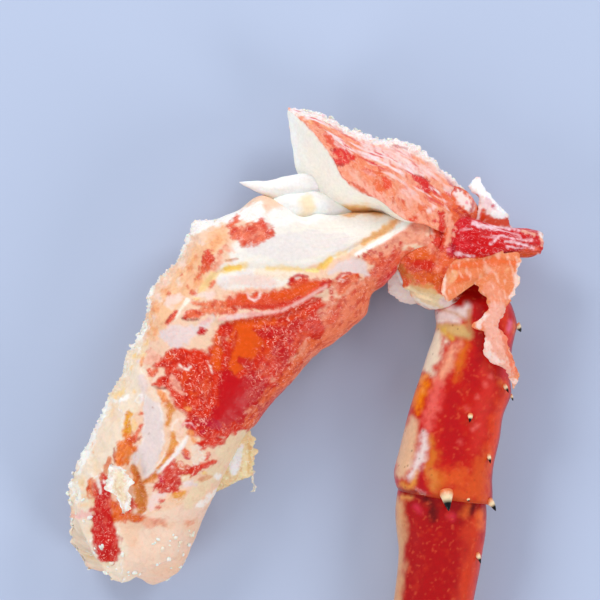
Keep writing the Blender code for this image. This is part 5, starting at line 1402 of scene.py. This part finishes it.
propodus, propodus_tint, *_ = boiled_shell(PROPODUS, 300, 190, tint(178, 32, 40), PROPODUS_STAINS, 100)
fit(tube_object("second_shell", propodus, tint=propodus_tint, wet=0.75, threads=0), boiled,
    "propodus_shell")
spines, spine_tint = spines_on(propodus, PROPODUS_SPINES)
fit(tube_object("second_shell_spines", spines, tint=spine_tint, wet=0.6), boiled,
    "propodus_shell")

# ------------------------------------------------------------------ claw
# The dactyl is the walking claw at the leg's end: a hard curved point with two shallow grooves, jointed into
# the second shell. It is red at its root and almost black at its tip.

DACTYL = np.array((
    (11.5, -85.0, 23.5, -91.0, 8.6, 6.0, 6.6),
    (8.5, -89.5, 22.5, -96.5, 8.6, 7.0, 8.0),
    (4.5, -97.5, 18.0, -105.5, 8.2, 6.8, 7.8),
    (-2.5, -110.5, 8.5, -120.0, 7.4, 5.8, 7.0),
    (-11.0, -122.5, -2.5, -131.5, 6.4, 4.8, 6.2),
    (-20.5, -133.0, -14.5, -140.5, 5.4, 3.6, 5.2),
    (-30.0, -141.5, -27.0, -146.5, 4.4, 2.2, 2.6),
    (-38.5, -147.8, -38.2, -148.8, 3.6, 0.5, 0.6),
))
claw, along, across, _ = skin_surface(DACTYL, rings=220, sides=120, ends=(0.6, 0.4))
reach = np.clip(along * 2.2 - 0.55 + 0.25 * layered(claw, 5, 3, 110), 0, 1)
claw_tint = lay_colour(tint(204, 70, 44), np.clip(reach * 2, 0, 1), tint(140, 40, 28))
claw_tint = lay_colour(claw_tint, np.clip(reach * 2 - 1, 0, 1), tint(36, 20, 18))
grooves = sum(np.exp(-(((across - place) / 0.03) ** 2)) for place in (0.35, 0.68))
relief = -0.5 * grooves * np.clip(along * 5, 0, 1) * np.clip(4 - along * 5, 0, 1)
relief += 0.08 * layered(claw, 2.5, 3, 111)
claw = claw + outward(claw) * relief[..., None]
horn = wet_flesh("dark claw horn", cells=700, mottle=0.06, bump=0.04, rough=(0.36, 0.22), coat=0.6,
                 scatter=0.05)
fit(tube_object("claw", claw, tint=claw_tint, wet=0.5), horn, "dactyl_claw")

# ------------------------------------------------------------------ membrane frill and loose flake
# Two scraps of thin membrane on the thigh: a cream frill that stands out from its inner side near the torn
# end, and a flake with curled rims that lies on it. Both hang on by a corner.

FRILL = np.array((
    (-24.0, 45.0, -16.8, 46.2, 15.0, 1.0, 1.0),
    (-25.5, 40.5, -15.3, 42.8, 15.5, 1.1, 1.1),
    (-27.0, 36.0, -15.0, 38.0, 16.0, 1.1, 1.1),
    (-28.5, 32.5, -15.2, 33.2, 16.0, 1.1, 1.1),
    (-30.5, 28.5, -16.8, 31.0, 15.8, 1.0, 1.0),
    (-32.5, 25.5, -22.0, 28.6, 15.4, 1.0, 1.0),
    (-35.0, 22.0, -28.5, 25.2, 15.0, 0.8, 0.8),
))
STRAND = np.array((
    (-16.2, 32.5, -15.2, 32.5, 15.8, 0.5, 0.5),
    (-16.0, 29.5, -15.3, 29.5, 15.6, 0.4, 0.4),
    (-15.4, 27.5, -14.9, 27.5, 15.4, 0.3, 0.3),
    (-15.7, 26.2, -15.5, 26.2, 15.3, 0.2, 0.2),
))
LOOSE_FLAKE = np.array((
    (-60.7, 35.2, -59.6, 35.4, 33.0, 0.5, 0.5),
    (-60.4, 33.6, -57.0, 34.6, 33.3, 0.6, 0.6),
    (-61.0, 31.4, -54.8, 32.6, 33.4, 0.7, 0.7),
    (-61.8, 29.2, -53.8, 30.0, 33.4, 0.7, 0.7),
    (-61.6, 27.4, -54.6, 27.0, 33.2, 0.7, 0.7),
    (-58.8, 25.4, -53.8, 24.0, 32.8, 0.7, 0.7),
    (-57.6, 22.6, -54.8, 21.2, 32.0, 0.6, 0.6),
    (-57.0, 20.4, -55.9, 20.0, 31.4, 0.4, 0.4),
))
FRILL_STAINS_AND_SHADE = (
    (tint(252, 252, 252), 1, 0.3, 2, 0,
     ((-19, 40.8, 0.4), (-20.4, 38.2, 1.3), (-21.6, 35.2, 2), (-21.8, 32.6, 1.3))),
    (tint(248, 230, 184), 0.9, 0.4, 2, 0, ((-17.9, 42, 0.8), (-18, 37, 0.9), (-18.6, 32, 0.8))),
    # ochre painted shade along the fold beside the cream ridge
    (tint(232, 194, 128), 0.8, 0.3, 2, 0, ((-16.9, 42.5, 0.35), (-16.7, 37, 0.4), (-17, 32, 0.4))),
    (tint(238, 208, 158), 0.7, 0.6, 2, 0, ((-24, 41, 0.6), (-26, 35, 0.8), (-26, 30, 0.8))),
)
CREAMY_STAINS = (
    (tint(240, 224, 190), 0.9, 0.8, 1.5, 0, ((-57.5, 32.5, 1), (-57.5, 28, 1.4), (-56.5, 24.5, 0.8))),
    (tint(255, 252, 248), 0.9, 0.4, 1.5, 0, ((-60.6, 34.8, 0.5), (-57, 34.6, 0.5), (-54.8, 31.8, 0.5),
      (-54, 27.5, 0.5), (-54.6, 24, 0.5), (-56, 21, 0.5))),
    (tint(255, 252, 248), 0.9, 0.4, 1.5, 0,
     ((-61, 34, 0.4), (-60, 30.5, 0.5), (-61, 27.8, 0.5), (-58.5, 25, 0.5), (-57, 21.5, 0.4))),
    (tint(226, 196, 160), 0.7, 0.4, 1, 0, ((-58.5, 31, 0.4), (-59, 28.5, 0.5), (-57.5, 26.5, 0.3))),
)
membrane = wet_flesh("thin cream membrane", cells=1000, mottle=0.05, bump=0.3, rough=(0.5, 0.4), coat=0.15,
                     scatter=0.35, thread=(255, 250, 242))
for name, rows, node, base, stains_and_painted_light, curl in (
    ("frill", FRILL, "membrane_frill", tint(242, 218, 172), FRILL_STAINS_AND_SHADE, 0.0),
    ("frill_strand", STRAND, "membrane_frill", tint(226, 214, 200), (), 0.0),
    ("loose_flake", LOOSE_FLAKE, "loose_flake", tint(246, 234, 216), CREAMY_STAINS, 1.1),
):
    scrap, _, across, _ = skin_surface(rows, rings=130, sides=110, top_share=0.55, ends=(0.3, 0.3))
    scrap_tint = paint(scrap, base, stains_and_painted_light)
    browned = np.clip(layered(scrap, 1.4, 2, 52) * 2 - 0.6, 0, 1)
    scrap_tint = lay_colour(scrap_tint, browned * 0.4, tint(226, 186, 150))
    scrap = frayed(scrap, across, reach=1.2, cell=2.0, seed=53, first=0.2, last=0.2)
    relief = 0.25 * layered(scrap, 2.6, 2, 54)
    scrap = scrap + outward(scrap) * relief[..., None]
    scrap[..., 2] += curl * np.abs(2 * across - 1) ** 4
    fit(tube_object(name, scrap, tint=scrap_tint, wet=0.45, threads=0.5), membrane, node)

# ------------------------------------------------------------------ curds
# Curds of set juice and broken fibre cling where the meat was torn from its shell: on the outer side and the
# torn end of the thigh, and along the flap's top ridge.


def curds_on(surface, rings, sides, count, size, seed):
    """Uneven little lumps half sunk in a surface, on places picked at random within those rings and sides.
    Each is a ball of radius r, flattened along the surface's normal and pushed in and out by grain."""
    pick = np.random.default_rng(seed)
    ring = pick.integers(*rings, count)
    side = pick.integers(*sides, count) % surface.shape[1]
    base, normal = surface[ring, side], outward(surface)[ring, side]
    aside = np.cross(normal, pick.normal(size=(count, 3)))
    aside /= np.linalg.norm(aside, axis=-1, keepdims=True)
    third = np.cross(normal, aside)
    fall = np.linspace(0.12, 0.88, 7)[None, :, None, None] * np.pi
    turn = np.linspace(0, 2 * np.pi, 9, endpoint=False)[None, None, :, None]
    radius = size * pick.uniform(0.5, 1.3, count)[:, None, None, None]
    long, high = (pick.uniform(*span, count)[:, None, None, None] for span in ((0.9, 1.7), (0.5, 0.9)))
    n, a, c = (v[:, None, None] for v in (normal, aside, third))
    ball = np.cos(fall) * high * n + np.sin(fall) * (np.cos(turn) * long * a + np.sin(turn) * c)
    lump = base[:, None, None] + radius * ball
    return lump + radius * ball * 0.5 * layered(lump + 40 * seed, 1.1, 2, seed)[..., None]


curds = np.concatenate([
    curds_on(thigh, (130, 398), (-10, 10), 200, 0.5, 1),
    curds_on(thigh, (365, 400), (0, 250), 90, 0.55, 2),
    curds_on(flap, (20, 190), (-8, 6), 70, 0.5, 3),
])
creamy = np.clip(layered(curds, 4, 2, 55) * 2.5, 0, 1)
curd_tint = lay_colour(tint(250, 243, 232), creamy * 0.6, tint(247, 216, 184))
curd_lumps = tube_object("curds", curds, tint=curd_tint, wet=0.05)
curd_lumps.data.materials.append(white_meat)
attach(curd_lumps, "root")

# ------------------------------------------------------------------ table, light and camera
# A plain pale table, five soft round lights about it and a pale sky, as in a product studio.
# They are no part of the leg.

TABLE_HALF = 1.5
corners = [(x * TABLE_HALF, y * TABLE_HALF, 0) for x, y in ((-1, -1), (1, -1), (1, 1), (-1, 1))]
table_mesh = bpy.data.meshes.new("table")
table_mesh.from_pydata(corners, [], [(0, 1, 2, 3)])
table_top = bpy.data.objects.new("table", table_mesh)
bpy.context.scene.collection.objects.link(table_top)
table_paint = bpy.data.materials.new("pale table")
table_paint.use_nodes = True
table_shader = table_paint.node_tree.nodes["Principled BSDF"]
table_shader.inputs["Base Color"].default_value = (*tint(186, 198, 222), 1)
table_shader.inputs["Roughness"].default_value = 0.9
table_mesh.materials.append(table_paint)

# Each light faces the knee: its place, its width and its power in watts.
KNEE = Vector((0.0, 0.09, 0.02))
for name, place, width, power in (
    ("behind on the left", (-0.55, 0.8, 0.65), 0.45, 4.7),
    ("behind on the right", (0.65, 0.7, 0.6), 0.45, 3.2),
    ("in front on the right", (0.7, -0.6, 0.5), 0.45, 3.8),
    ("in front on the left", (-0.7, -0.5, 0.5), 0.45, 2.9),
    ("low rim light", (0.0, 1.0, 0.4), 0.2, 1.2),
):
    light = bpy.data.lights.new(name, "AREA")
    light.shape = "DISK"
    light.size = width
    light.energy = power
    lamp = bpy.data.objects.new(name, light)
    lamp.location = place
    lamp.rotation_euler = (KNEE - Vector(place)).to_track_quat("-Z", "Y").to_euler()
    bpy.context.scene.collection.objects.link(lamp)

sky = bpy.data.worlds.new("studio")
sky.use_nodes = True
sky_light = sky.node_tree.nodes["Background"]
sky_light.inputs["Color"].default_value = (0.85, 0.9, 1.0, 1)
sky_light.inputs["Strength"].default_value = 0.48
bpy.context.scene.world = sky
bpy.context.scene.view_settings.view_transform = "Standard"

# The camera looks straight down from that height above the leg's middle, where its view is that wide.
VIEW_WIDTH = 0.192
LEG_MIDDLE = 0.017
CAMERA_HEIGHT = 1.2
camera = bpy.data.cameras.new("camera")
camera.sensor_width = 36.0
camera.lens = camera.sensor_width / 2 / (VIEW_WIDTH / 2 / CAMERA_HEIGHT)
viewer = bpy.data.objects.new("camera", camera)
viewer.location = (-0.0006, 0.0874, LEG_MIDDLE + CAMERA_HEIGHT)
bpy.context.scene.collection.objects.link(viewer)
bpy.context.scene.camera = viewer
